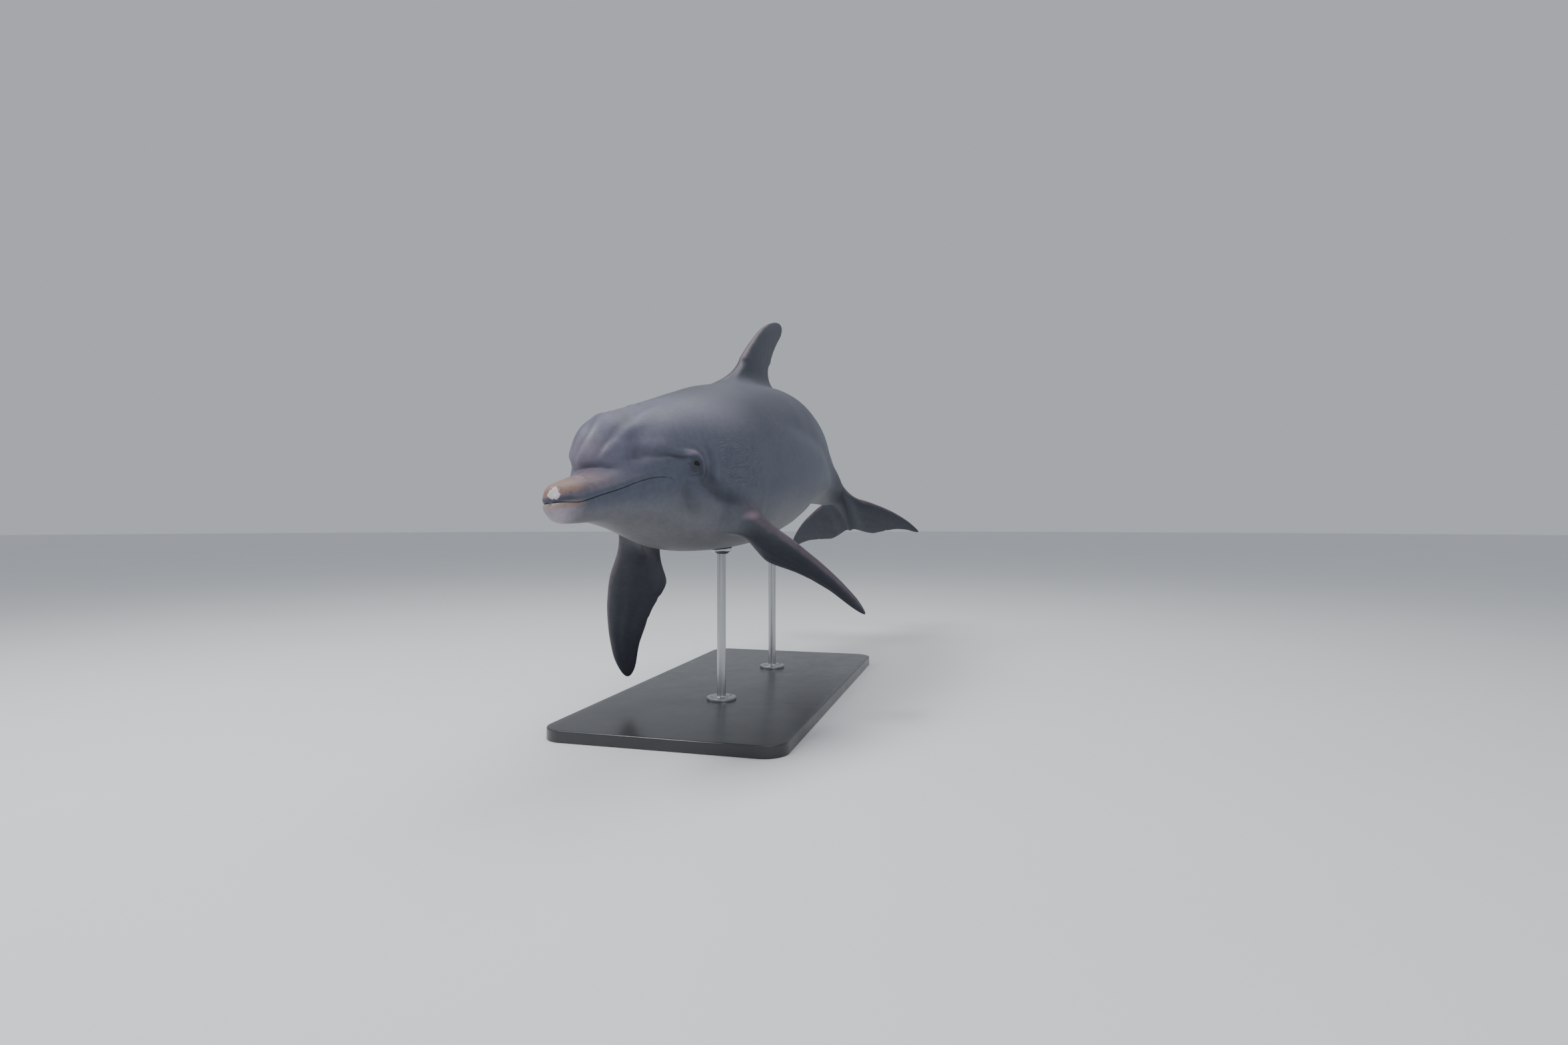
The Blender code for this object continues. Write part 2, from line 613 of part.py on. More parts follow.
def collar(name, centre, inner, outer, bottom, top):
    """A ring about a vertical axis, spun from its square section."""
    bm = bmesh.new()
    section = [bm.verts.new((r, 0, z)) for r, z in
               ((inner, bottom), (outer, bottom), (outer, top), (inner, top))]
    edges = [bm.edges.new((section[k], section[(k + 1) % 4])) for k in range(4)]
    bmesh.ops.spin(bm, geom=section + edges, cent=(0, 0, 0), axis=(0, 0, 1),
                   angle=2 * math.pi, steps=ROUND_SIDES, use_duplicate=False)
    bmesh.ops.remove_doubles(bm, verts=bm.verts, dist=0.00001)
    bmesh.ops.recalc_face_normals(bm, faces=bm.faces)
    bmesh.ops.translate(bm, vec=Vector((centre[0], centre[1], 0)), verts=bm.verts)
    return add_bmesh(name, bm)


def islands(obj):
    """The separate closed pieces of a mesh, each as points and faces."""
    bm = bmesh.new()
    bm.from_mesh(obj.data)
    left = set(bm.verts)
    pieces = []
    while left:
        start = left.pop()
        piece, front = {start}, [start]
        while front:
            vert = front.pop()
            for edge in vert.link_edges:
                other = edge.other_vert(vert)
                if other not in piece:
                    piece.add(other)
                    front.append(other)
        left -= piece
        order = {vert: k for k, vert in enumerate(piece)}
        faces = [tuple(order[v] for v in face.verts) for face in bm.faces if face.verts[0] in piece]
        pieces.append((np.array([vert.co for vert in piece]), faces))
    bm.free()
    return pieces


# each flesh node with a straight-space point near its middle, its colour and its roughness
FLESH = {
    "head": ((0.33, 0, 0.02), SKIN_GREY, 0.42),
    "melon": ((0.22, 0, 0.12), SKIN_GREY, 0.40),
    "upper_jaw": ((0.08, 0, 0.012), BEAK_TAN, 0.45),
    "lower_jaw": ((0.15, 0, -0.05), SKIN_PALE, 0.45),
    "chest": ((0.68, 0, 0), SKIN_GREY, 0.42),
    "abdomen": ((1.19, 0, 0), SKIN_GREY, 0.42),
    "tail_stock": ((1.90, 0, 0), SKIN_GREY, 0.42),
    "fluke_left": ((2.40, 0.15, 0), SKIN_DARK, 0.45),
    "fluke_right": ((2.40, -0.15, 0), SKIN_DARK, 0.45),
    "dorsal_fin": ((1.30, 0.02, 0.38), SKIN_DARK, 0.45),
    "flipper_left": ((0.60, 0.35, -0.26), SKIN_DARK, 0.45),
    "flipper_right": ((0.60, -0.30, -0.34), SKIN_DARK, 0.45),
}


def part_off(parent, name, cutter):
    """Cut one object in two; the piece around the named node's point becomes its own object."""
    boolean(parent, cutter)
    pieces = islands(parent)
    if len(pieces) != 2:
        raise ValueError(f"the cut for {name} leaves {len(pieces)} pieces")
    middle = place(np.array(FLESH[name][0]))[0]
    pieces.sort(key=lambda piece: np.linalg.norm(
        (piece[0].min(axis=0) + piece[0].max(axis=0)) / 2 - middle))
    rest = add_object("rest", *pieces[1])
    parent.data = rest.data
    bpy.data.objects.remove(rest)
    return add_object(name, *pieces[0])


def part_dolphin(whole):
    """Part the fins from the skin, then the skin along its length, then the head."""
    flipper_left, flipper_right = [f for f in all_fins() if f["name"].startswith("flipper")]
    nodes = {}
    nodes["dorsal_fin"] = part_off(whole, "dorsal_fin", dorsal_cut())
    nodes["flipper_left"] = part_off(whole, "flipper_left", flipper_cut(flipper_left))
    nodes["flipper_right"] = part_off(whole, "flipper_right", flipper_cut(flipper_right))
    nodes["fluke_left"] = part_off(whole, "fluke_left", fluke_cut(1))
    nodes["fluke_right"] = part_off(whole, "fluke_right", fluke_cut(-1))
    nodes["tail_stock"] = part_off(whole, "tail_stock", cross_cut(LOIN_AT))
    nodes["abdomen"] = part_off(whole, "abdomen", cross_cut(CHEST_AT))
    nodes["head"] = part_off(whole, "head", cross_cut(NECK_AT))
    nodes["lower_jaw"] = part_off(nodes["head"], "lower_jaw", mouth_cut())
    nodes["upper_jaw"] = part_off(nodes["head"], "upper_jaw", beak_cut())
    nodes["melon"] = part_off(nodes["head"], "melon", melon_cut())
    whole.name = "chest"
    nodes["chest"] = whole
    return nodes


def fit_eyes(nodes):
    for name, side in (("eye_left", 1), ("eye_right", -1)):
        centre = eye_centre(side)
        boolean(nodes["head"], ball("socket", centre, EYE_RADIUS + GAP))
        nodes[name] = ball(name, centre, EYE_RADIUS)


def fit_blowhole(nodes):
    """The flap of the blowhole: a plug of skin in a shallow round seat behind the melon."""
    top, behind = (cast(np.array([s, 0.0, 0.1]), np.array([0.0, 0.0, 1.0]))
                   for s in (BLOWHOLE_AT, BLOWHOLE_AT + BLOWHOLE_RADIUS))
    slope = behind - top
    up = np.array([-slope[2], 0.0, slope[0]])
    ends = place(np.array([top, top + up]))
    centre, axis = ends[0], ends[1] - ends[0]
    plug = nodes["head"].copy()
    plug.data = nodes["head"].data.copy()
    plug.name = "blowhole"
    bpy.context.scene.collection.objects.link(plug)
    over_skin = 2 * BLOWHOLE_RADIUS
    core = drum("core", centre, axis, BLOWHOLE_RADIUS, over_skin, BLOWHOLE_DEPTH)
    boolean(plug, core, "INTERSECT")
    seat = drum("seat", centre, axis, BLOWHOLE_RADIUS + GAP, over_skin, BLOWHOLE_DEPTH + GAP)
    boolean(nodes["head"], seat)
    nodes["blowhole"] = plug


def base_plate(centre, top):
    """A flat rounded rectangle whose upper edge is eased."""
    bm = bmesh.new()
    bmesh.ops.create_cube(bm, size=1.0)
    bmesh.ops.scale(bm, vec=Vector(BASE_SIZE), verts=bm.verts)
    upright = [e for e in bm.edges if abs(e.verts[0].co.z - e.verts[1].co.z) > 0.01]
    bmesh.ops.bevel(bm, geom=upright, offset=BASE_CORNER, segments=6, affect="EDGES", profile=0.5)
    rim = [e for e in bm.edges if min(v.co.z for v in e.verts) > BASE_SIZE[2] / 2 - 0.0001]
    bmesh.ops.bevel(bm, geom=rim, offset=BASE_EDGE, segments=2, affect="EDGES", profile=0.5)
    bmesh.ops.translate(bm, vec=Vector((centre[0], centre[1], top - BASE_SIZE[2] / 2)),
                        verts=bm.verts)
    return add_bmesh("stand_base", bm)


def lowered(whole_mesh):
    """The dolphin's skin, let down by the clearance, to cut what is fitted to the belly."""
    cutter = bpy.data.objects.new("belly", whole_mesh.copy())
    bpy.context.scene.collection.objects.link(cutter)
    cutter.data.transform(Matrix.Translation((0, 0, -GAP)))
    return cutter


def build_stand(nodes, whole_mesh, lowest, middle):
    """A base plate and two rods, each with a flange on the base and a cup under the belly."""
    top = lowest - FLIPPER_CLEARANCE
    nodes["stand_base"] = base_plate(middle, top)
    for name, s in ROD_STATIONS.items():
        belly = place(np.array([s, 0.0, profile(2, s)]))[0]
        rod = drum(f"stand_rod_{name}", (belly[0], belly[1], top), (0, 0, 1), ROD_RADIUS,
                   belly[2] - top + OVERLAP, -GAP)
        boolean(rod, lowered(whole_mesh))
        cup = collar(f"stand_cup_{name}", belly, ROD_RADIUS + GAP, CUP["outer"],
                     belly[2] - CUP["below"], belly[2] + OVERLAP)
        boolean(cup, lowered(whole_mesh))
        flange = collar(f"stand_flange_{name}", belly, ROD_RADIUS + GAP, FLANGE["outer"],
                        top + GAP, top + GAP + FLANGE["height"])
        for obj in (rod, cup, flange):
            nodes[obj.name] = obj


def set_down(nodes):
    """Move every node so that the origin is on the floor under the middle of the whole model."""
    corners = np.array([v.co[:] for obj in nodes.values() for v in obj.data.vertices])
    low, high = corners.min(axis=0), corners.max(axis=0)
    shift = np.array([(low[0] + high[0]) / 2, (low[1] + high[1]) / 2, low[2]])
    root = bpy.data.objects.new("dolphin_on_stand", None)
    bpy.context.scene.collection.objects.link(root)
    for obj in nodes.values():
        points = np.array([v.co[:] for v in obj.data.vertices])
        own = (points.min(axis=0) + points.max(axis=0)) / 2
        obj.data.transform(Matrix.Translation(Vector(-own)))
        obj.location = Vector(own - shift)
        obj.parent = root


def main():
    for obj in list(bpy.data.objects):
        bpy.data.objects.remove(obj)
    whole = whole_dolphin()
    whole_mesh = whole.data.copy()
    points = np.array([v.co[:] for v in whole_mesh.vertices])
    middle = place(np.array([BASE_STATION, 0.0, 0.0]))[0]
    nodes = part_dolphin(whole)
    fit_eyes(nodes)
    fit_blowhole(nodes)
    build_stand(nodes, whole_mesh, points[:, 2].min(), middle)
    bpy.data.meshes.remove(whole_mesh)
    set_down(nodes)
    for name, obj in nodes.items():
        if name in FLESH:
            _, colour, roughness = FLESH[name]
            material = finish(name, colour, roughness)
        elif name.startswith("eye"):
            material = finish(name, EYE_BROWN, 0.08)
        elif name == "blowhole":
            material = finish(name, SKIN_DARK, 0.45)
        elif name == "stand_base":
            material = finish(name, BASE_BLACK, 0.35)
        else:
            material = finish(name, STEEL, 0.30, 1.0)
        obj.data.materials.clear()
        obj.data.materials.append(material)
        obj.data.shade_smooth()
        obj.data.set_sharp_from_angle(angle=math.radians(35))


main()
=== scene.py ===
import math

import bmesh
import bpy
import numpy as np
from mathutils import Matrix, Vector
from mathutils.bvhtree import BVHTree


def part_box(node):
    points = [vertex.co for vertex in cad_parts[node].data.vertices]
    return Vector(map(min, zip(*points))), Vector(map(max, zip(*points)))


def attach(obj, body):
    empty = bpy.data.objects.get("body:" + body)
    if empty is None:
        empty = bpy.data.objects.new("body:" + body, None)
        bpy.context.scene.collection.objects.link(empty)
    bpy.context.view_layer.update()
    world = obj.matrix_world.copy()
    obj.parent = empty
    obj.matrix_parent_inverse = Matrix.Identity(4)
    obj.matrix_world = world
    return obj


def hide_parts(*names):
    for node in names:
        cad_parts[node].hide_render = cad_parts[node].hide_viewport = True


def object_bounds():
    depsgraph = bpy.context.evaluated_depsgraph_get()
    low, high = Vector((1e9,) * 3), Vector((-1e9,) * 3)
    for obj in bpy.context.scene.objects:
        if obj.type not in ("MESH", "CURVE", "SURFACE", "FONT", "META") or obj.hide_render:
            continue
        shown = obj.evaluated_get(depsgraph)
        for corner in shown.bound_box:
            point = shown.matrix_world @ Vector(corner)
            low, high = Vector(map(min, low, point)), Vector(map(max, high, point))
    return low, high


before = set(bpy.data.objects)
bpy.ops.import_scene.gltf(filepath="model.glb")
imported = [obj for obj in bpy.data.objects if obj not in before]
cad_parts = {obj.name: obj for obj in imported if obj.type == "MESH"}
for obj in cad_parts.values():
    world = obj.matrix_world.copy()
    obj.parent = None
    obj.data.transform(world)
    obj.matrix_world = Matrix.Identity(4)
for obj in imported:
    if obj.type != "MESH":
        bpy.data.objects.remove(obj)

cadLow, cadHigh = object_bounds()
print("frame loaded:", len(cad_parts), "nodes")

# The body laid out straight: s runs back from the beak tip, y to its left, z up
body = {
    "length": 2.46,
    # s, top line, belly line, half width
    "profile": np.array([
        (0.00, 0.0205, -0.0385, 0.0195), (0.04, 0.0285, -0.052, 0.0325), (0.09, 0.0365, -0.0565, 0.0465),
        (0.13, 0.043, -0.059, 0.059), (0.20, 0.075, -0.073, 0.087), (0.33, 0.176, -0.114, 0.134),
        (0.45, 0.198, -0.158, 0.162), (0.62, 0.222, -0.193, 0.192), (0.82, 0.244, -0.220, 0.216),
        (1.02, 0.250, -0.234, 0.225), (1.22, 0.243, -0.232, 0.217), (1.42, 0.220, -0.212, 0.192),
        (1.62, 0.178, -0.187, 0.157), (1.82, 0.131, -0.152, 0.112), (2.02, 0.092, -0.119, 0.069),
        (2.18, 0.062, -0.071, 0.040), (2.33, 0.030, -0.026, 0.022), (2.46, 0.008, -0.008, 0.008)]),
    "beakStart": 0.007, "beakRound": 0.023, "beakPower": 3.0, "tailRound": 0.012, "underbite": 0.003,
    "melonCentre": np.array([0.274, 0.0, 0.067]), "melonRadii": np.array([0.129, 0.0835, 0.102]),
    "melonJoin": (0.008, 0.03),      # how softly the melon joins the beak, and how much more the body behind
    "ringLean": 1.2, "leaning": (0.05, 0.19, 0.20, 0.33),      # the rings lean forward over the melon
    "power": 2.2, "tailPower": 0.45,      # how square the section is, and how much less on the tail stock
    "tableRows": 1231,
    "blend": ((0.0, 0.12, 0.30, 0.60, 2.30, 2.46), (0.001, 0.006, 0.012, 0.030, 0.030, 0.001)),
}
skin = {
    "columns": 96,
    "headZones": ((0.03, 0.15, 60), (0.15, 0.21, 26), (0.21, 0.33, 42), (0.33, 0.39, 30),
                  (0.39, 0.46, 22)),
    "bodyZones": ((0.46, 0.495, 4), (0.495, 0.695, 20), (0.695, 0.91, 18), (0.91, 1.44, 44),
                  (1.44, 2.14, 52), (2.14, 2.44, 42)),
    "tipRings": 12, "finRows": 28, "tipRows": 10, "filletRows": 9,
    "closeColumns": 0.20,      # spacing at the mouth line against the spacing on the back
    "closeFrom": (0.35, 0.85), "closeUntil": (0.395, 0.455), "guideAngles": (1.2, 2.0),
    "rootSettles": 0.25, "rootSoftens": 0.09,     # share of the span
    "fineMargin": 0.006, "slide": 2,    # finer areas: border that is laid on the skin, and passes
    "softening": 9, "blending": 45,     # passes of smoothing where the fins grow out
    "spreading": 4, "spread": 0.9,      # how the softened zone runs onto the body
    "crest": (0.84, 0.90, 1.46, 1.50), "crestHeight": 0.18,
    "tailBlend": (2.10, 2.24), "flukeBlend": (0.20, 0.36),
}


def ease(x, start, end):       # from 0 at start to 1 at end
    t = np.clip((np.asarray(x, float) - start) / (end - start), 0.0, 1.0)
    return t * t * (3.0 - 2.0 * t)


def fade(x, start, end):       # from 1 at start to 0 at end
    return 1 - ease(x, start, end)


def between(x, start, full, until, end):     # rises from start to full, falls from until to end
    return ease(x, start, full) * fade(x, until, end)


def bell(x, at, width):
    return np.exp(-((x - at) / width) ** 2)


def through(xs, ys, x):        # a smooth curve through the stations that never overshoots them
    xs, ys, x = (np.asarray(v, float) for v in (xs, ys, x))
    width = np.diff(xs)
    slope = np.diff(ys) / width
    before, after = slope[:-1], slope[1:]
    sameWay = before * after > 0
    tangent = np.empty(len(xs))
    tangent[1:-1] = np.where(sameWay, 2 * before * after / np.where(sameWay, before + after, 1), 0)
    tangent[0], tangent[-1] = slope[0], slope[-1]
    i = np.clip(np.searchsorted(xs, x, side="right") - 1, 0, len(xs) - 2)
    t = np.clip((x - xs[i]) / width[i], 0.0, 1.0)
    return ((1 + 2 * t) * (1 - t) ** 2 * ys[i] + t * (1 - t) ** 2 * width[i] * tangent[i]
            + t * t * (3 - 2 * t) * ys[i + 1] + t * t * (t - 1) * width[i] * tangent[i + 1])


def profileTable(blended):     # stations every 2 mm; blending takes the last kinks out of the lines
    fine = np.linspace(0, body["length"], body["tableRows"])
    rows = [through(body["profile"][:, 0], body["profile"][:, k], fine) for k in (1, 2, 3)]
    if blended:
        sigma = np.interp(fine, *body["blend"])
        weight = np.exp(-0.5 * ((fine[:, None] - fine[None, :]) / sigma[:, None]) ** 2)
        weight /= weight.sum(axis=1, keepdims=True)
        rows = [weight @ row for row in rows]
    return [fine, *rows]


table = profileTable(False)


def profile(column, s):
    return np.interp(s, table[0], table[column])


def axisHeight(s):
    return (profile(1, s) + profile(2, s)) / 2


def girth(s, angle):           # from the axis to the side of the plain body
    middle = axisHeight(s)
    fromTip = (1 - np.clip((s - body["beakStart"]) / body["beakRound"], 0, 1)) ** body["beakPower"]
    blunt = np.clip(1 - fromTip, 1e-6, 1) ** (1 / body["beakPower"])
    toTail = np.clip((body["length"] - s) / body["tailRound"], 0, 1)
    blunt = blunt * np.sqrt(np.clip(1 - (1 - toTail) ** 2, 1e-6, 1))
    halfHeight = np.where(np.cos(angle) > 0, profile(1, s) - middle, middle - profile(2, s)) * blunt
    halfWidth = profile(3, s) * blunt
    power = body["power"] - body["tailPower"] * ease(s, 1.5, 2.0) + body["tailPower"] * ease(s, 2.15, 2.35)
    sides = np.abs(np.sin(angle) / halfWidth) ** power + np.abs(np.cos(angle) / halfHeight) ** power
    return sides ** (-1 / power)


def melonAndPlain(q):          # distances from the melon and from the plain body, below zero inside
    s = np.clip(q[..., 0], 1e-4, body["length"] - 1e-4)
    z = q[..., 2] - axisHeight(s)
    plain = np.hypot(q[..., 1], z) - girth(s, np.arctan2(q[..., 1], z))
    p = q - body["melonCentre"]
    near = np.linalg.norm(p / body["melonRadii"], axis=-1)
    slope = np.linalg.norm(p / body["melonRadii"] ** 2, axis=-1) + 1e-9
    return near * (near - 1) / slope, plain


def depthField(q):
    melon, plain = melonAndPlain(q)
    atBeak, more = body["melonJoin"]
    softness = atBeak + more * ease(q[..., 0], 0.13, 0.29)
    share = np.clip(0.5 + 0.5 * (melon - plain) / softness, 0.0, 1.0)
    return melon * (1 - share) + plain * share - softness * share * (1 - share)


def cast(start, ray, reach=0.3, halvings=20):    # where a ray from within leaves the body
    low = np.zeros(start.shape[:-1])
    high = low + reach
    for _ in range(halvings):
        middle = (low + high) / 2
        inside = depthField(start + ray * middle[..., None]) < 0
        low = np.where(inside, middle, low)
        high = np.where(inside, high, middle)
    return start + ray * ((low + high) / 2)[..., None]


def sidePoint(s, z, side):     # where the body's side is at station s and height z
    s, z = np.broadcast_arrays(np.asarray(s, float), np.asarray(z, float))
    start = np.stack([s, 0 * s, z], -1)
    return cast(start, np.broadcast_to(np.array([0.0, float(side), 0.0]), start.shape))


def outward(p, step=0.0005):   # direction out of the body, from the depth field's slope
    slope = np.stack([depthField(p + step * axis) - depthField(p - step * axis)
                      for axis in np.eye(3)], -1) / (2 * step)
    size = np.linalg.norm(slope, axis=-1, keepdims=True)
    return slope / size, size[..., 0]


def turn(axis, angle):
    return np.array(Matrix.Rotation(angle, 3, axis))


def ripple(p, wavelength, seed, waves=9):   # smooth, even noise from -1 to 1 or so
    rng = np.random.default_rng(seed)
    total = np.zeros(len(p))
    for _ in range(waves):
        way = rng.normal(size=3)
        way *= 2 * math.pi / wavelength * rng.uniform(0.6, 1.4) / np.linalg.norm(way)
        total += np.sin(p @ way + rng.uniform(0, 2 * math.pi))
    return total / math.sqrt(waves)


# The pose: the spine bends, then the whole animal pitches and banks
pose = {
    "straightAt": 0.89, "noseDown": 0.149, "bank": 0.067,
    # from station, to station, yaw, pitch, roll
    "tail": (1.19, 2.24, -0.144, -0.446, 0.114),
    "flukes": (2.04, 2.39, 0.039, -0.496, 0.0),
    "head": (0.74, 0.24, -0.068, -0.048, 0.046),
}


def bendShare(stations, start, end):
    return fade(stations, end, start) if end < start else ease(stations, start, end)


def bentSpine():
    step = 0.01
    stations = np.arange(-0.2, body["length"] + 0.3, step)
    angles = [sum(pose[part][k] * bendShare(stations, *pose[part][:2])
                  for part in ("tail", "flukes", "head")) for k in (2, 3, 4)]
    turns = np.array([turn("Z", a) @ turn("Y", b) @ turn("X", c) for a, b, c in zip(*angles)])
    forward = turns[:, :, 0]
    points = np.zeros((len(stations), 3))
    points[1:] = np.cumsum(-(forward[1:] + forward[:-1]) / 2 * step, axis=0)
    points -= points[int(round((pose["straightAt"] - stations[0]) / step))]
    return stations, points, turns


spine = bentSpine()
setDown = np.zeros(3)


def place(straight):           # from the straight body to its place in the finished model
    stations, points, turns = spine
    straight = np.atleast_2d(straight)
    f = np.clip((straight[:, 0] - stations[0]) / (stations[1] - stations[0]), 0, len(stations) - 1.001)
    i = f.astype(int)
    t = (f - i)[:, None]
    centre = points[i] * (1 - t) + points[i + 1] * t
    across = turns[i] * (1 - t[:, :, None]) + turns[i + 1] * t[:, :, None]
    bent = centre + across[:, :, 1] * straight[:, 1:2] + across[:, :, 2] * straight[:, 2:3]
    bent = bent @ (turn("Y", pose["noseDown"]) @ turn("X", pose["bank"])).T
    return np.stack([bent[:, 1], -bent[:, 0], bent[:, 2]], axis=1) - setDown


# Where the eyes sit; the left one also ties the skin to the frame
eye = {
    "at": (0.358, 0.034), "radius": 0.0145, "bulge": 0.0022,
    "halfLength": 0.0104, "upper": 0.0058, "lower": 0.0048, "slant": -0.12,
    "lid": 0.0013, "rings": 48, "segments": 64, "cornea": (0.0005, 0.0052),
    # how far the lids reach and settle, how softly they leave the skin, how deep the skin is sunk inside them
    "reach": 0.034, "settle": (0.0095, 0.0140), "softness": 0.0012, "sunk": 0.0026, "lidShade": 0.0022,
}


def eyeCentre(side):
    s, z = eye["at"]
    surface = sidePoint(s, z, side)
    normal = np.cross(sidePoint(s + 0.01, z, side) - surface, sidePoint(s, z + 0.01, side) - surface)
    normal *= side * np.sign(normal[1]) / np.linalg.norm(normal)
    return surface - normal * (eye["radius"] - eye["bulge"]), normal


eyes = {side: eyeCentre(side) for side in (1, -1)}
eyeLow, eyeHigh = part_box("eye_left")
setDown = place(eyes[1][0])[0] - np.array((eyeLow + eyeHigh) / 2)
rightLow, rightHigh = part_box("eye_right")
drift = np.linalg.norm(place(eyes[-1][0])[0] - np.array((rightLow + rightHigh) / 2))
print("skin tied to the frame, drift at the right eye %.2f mm" % (1000 * drift))
table = profileTable(True)

# The fins: share of the span, leading edge, trailing edge along s
dorsal = {
    "kind": 1, "root": (1.023, 0.0, 0.225), "span": 0.270, "lean": 0.135,
    "outline": np.array([(0.0, -0.080, 0.434), (0.12, -0.014, 0.414), (0.3, 0.070, 0.419),
                         (0.5, 0.164, 0.445), (0.7, 0.266, 0.495), (0.85, 0.352, 0.543),
                         (1.0, 0.444, 0.600)]),
    "thick": 0.053, "thinning": 0.6, "tipThick": 0.007, "roundFrom": 0.78, "starts": 0.30,
    "patch": (0.91, 1.44), "column": 0, "halfColumns": 3, "curl": 0.0, "twist": 0.0, "pull": 1.0,
    "nicks": ((0.36, 0.012, 0.007), (0.31, 0.010, 0.005), (0.47, 0.016, 0.003)),
}
flipper = {
    "kind": 2, "span": 0.412, "chord": 0.93,
    "outline": np.array([(0.0, 0.005, 0.108), (0.15, -0.006, 0.127), (0.3, -0.004, 0.168),
                         (0.5, 0.018, 0.154), (0.7, 0.055, 0.157), (0.85, 0.092, 0.170),
                         (1.0, 0.135, 0.190)]),
    "thick": 0.044, "thinning": 0.75, "tipThick": 0.006, "roundFrom": 0.86, "starts": 0.16,
    "patch": (0.495, 0.695), "column": 33, "halfColumns": 6, "pull": 0.7,
    # side: root, sweep, droop, feather, curl, twist at the root, nicks
    "poses": {1: ((0.538, 0.168, -0.089), -0.208, -0.658, 0.525, -0.004, -0.21,
                  ((0.58, 0.02, 0.002),)),
              -1: ((0.538, -0.150, -0.115), -0.072, -0.972, 1.007, 0.002, -0.30,
                   ((0.40, 0.010, 0.004), (0.56, 0.012, 0.004)))},
}
fluke = {
    "kind": 3, "span": 0.308,
    "outline": np.array([(0.0, 2.160, 2.452), (0.1, 2.205, 2.484), (0.25, 2.255, 2.495),
                         (0.45, 2.306, 2.488), (0.65, 2.359, 2.484), (0.82, 2.418, 2.496),
                         (1.0, 2.50, 2.535)]),
    "thick": 0.036, "thinning": 0.9, "tipThick": 0.006, "roundFrom": 0.88, "starts": 0.20,
    "patch": (2.14, 2.44), "column": 24, "halfColumns": 6, "curl": 0.0, "twist": 0.0, "pull": 0.3,
    "nicks": ((0.52, 0.012, 0.004),),
}


# how full the section is, how much it thins to the rear, and where the root's twist has gone
finSection = {"fullness": 0.625, "thinner": 0.55, "untwisted": 0.75}


def sideColumn(column, side):  # a column of the left side, or the one across from it
    return column if side > 0 else skin["columns"] - column


def allFins():
    lean = dorsal["lean"]
    fins = [dict(dorsal, root=np.array(dorsal["root"]), chordWay=np.array([1.0, 0, 0]),
                 spanWay=np.array([0, math.sin(lean), math.cos(lean)]))]
    for side, (root, sweep, droop, feather, curl, twist, nicks) in flipper["poses"].items():
        mirror = np.array([1.0, side, 1.0])
        aim = turn("Z", sweep) @ turn("X", droop) @ turn("Y", feather)
        outline = flipper["outline"].copy()
        middle = outline[:, 1:].mean(axis=1, keepdims=True)
        outline[:, 1:] = middle + (outline[:, 1:] - middle) * flipper["chord"]
        fins.append(dict(flipper, outline=outline, curl=curl, twist=twist, nicks=nicks,
                         column=sideColumn(flipper["column"], side), root=np.array(root),
                         chordWay=aim[:, 0] * mirror, spanWay=aim[:, 1] * mirror))
    for side in (1, -1):
        fins.append(dict(fluke, column=sideColumn(fluke["column"], side), root=np.zeros(3),
                         chordWay=np.array([1.0, 0, 0]), spanWay=np.array([0, float(side), 0])))
    return fins


def finRing(fin, normal, share, angles):    # angle 0 is the leading edge and pi the trailing edge
    outline = fin["outline"]
    lead = through(outline[:, 0], outline[:, 1], share)
    trail = through(outline[:, 0], outline[:, 2], share)
    start = fin["roundFrom"]
    rounding = math.sqrt(max(0.0, 1 - max(0.0, (share - start) / (1 - start)) ** 2))
    halfChord = (trail - lead) / 2 * max(rounding, 0.02)
    thick = (fin["thick"] * (1 - share) ** fin["thinning"] + fin["tipThick"]) * max(rounding, 0.05)
    back = (1 - np.cos(angles)) / 2
    section = np.sin(angles) * (1 - finSection["thinner"] * back)
    height = thick * finSection["fullness"] * section + fin["curl"] * share ** 2
    along = (lead + trail) / 2 - halfChord * np.cos(angles)
    twist = fin["twist"] * fade(share, 0.0, finSection["untwisted"])
    chordWay = fin["chordWay"] * math.cos(twist) + normal * math.sin(twist)
    normal = normal * math.cos(twist) - fin["chordWay"] * math.sin(twist)
    for at, width, depth in fin["nicks"]:
        along = along - depth * bell(share, at, width) * ease(back, 0.8, 1.0)
    return (fin["root"] + fin["spanWay"] * share * fin["span"]
            + along[:, None] * chordWay + height[:, None] * normal)


def patchLoop(grid, fin, stations):         # the edge of the patch a fin grows from
    columns = grid.shape[1]
    first, last = (int(np.argmin(abs(stations - end))) for end in fin["patch"])
    column, half = fin["column"], fin["halfColumns"]
    loop = [(first, column + k) for k in range(half)]
    loop += [(i, column + half) for i in range(first, last)]
    loop += [(last, column + k) for k in range(half, -half, -1)]
    loop += [(i, column - half) for i in range(last, first, -1)]
    loop += [(first, column + k) for k in range(-half, 0)]
    tangents = []
    for i, j in loop:
        sides = ((i == first, -1, 0), (i == last, 1, 0),
                 (j == column + half, 0, 1), (j == column - half, 0, -1))
        ways = [grid[i, j % columns] - grid[i + down, (j + around) % columns]
                for onSide, down, around in sides if onSide]
        inward = sum(way / np.linalg.norm(way) for way in ways)
        tangents.append(inward / np.linalg.norm(inward))
    halfRings = (last - first) / 2
    around = [math.atan2((j - column) / half, (first + halfRings - i) / halfRings) for i, j in loop]
    removed = {(i, j % columns) for i in range(first, last) for j in range(column - half, column + half)}
    return loop, np.array(tangents), np.array(around) % (2 * math.pi), removed


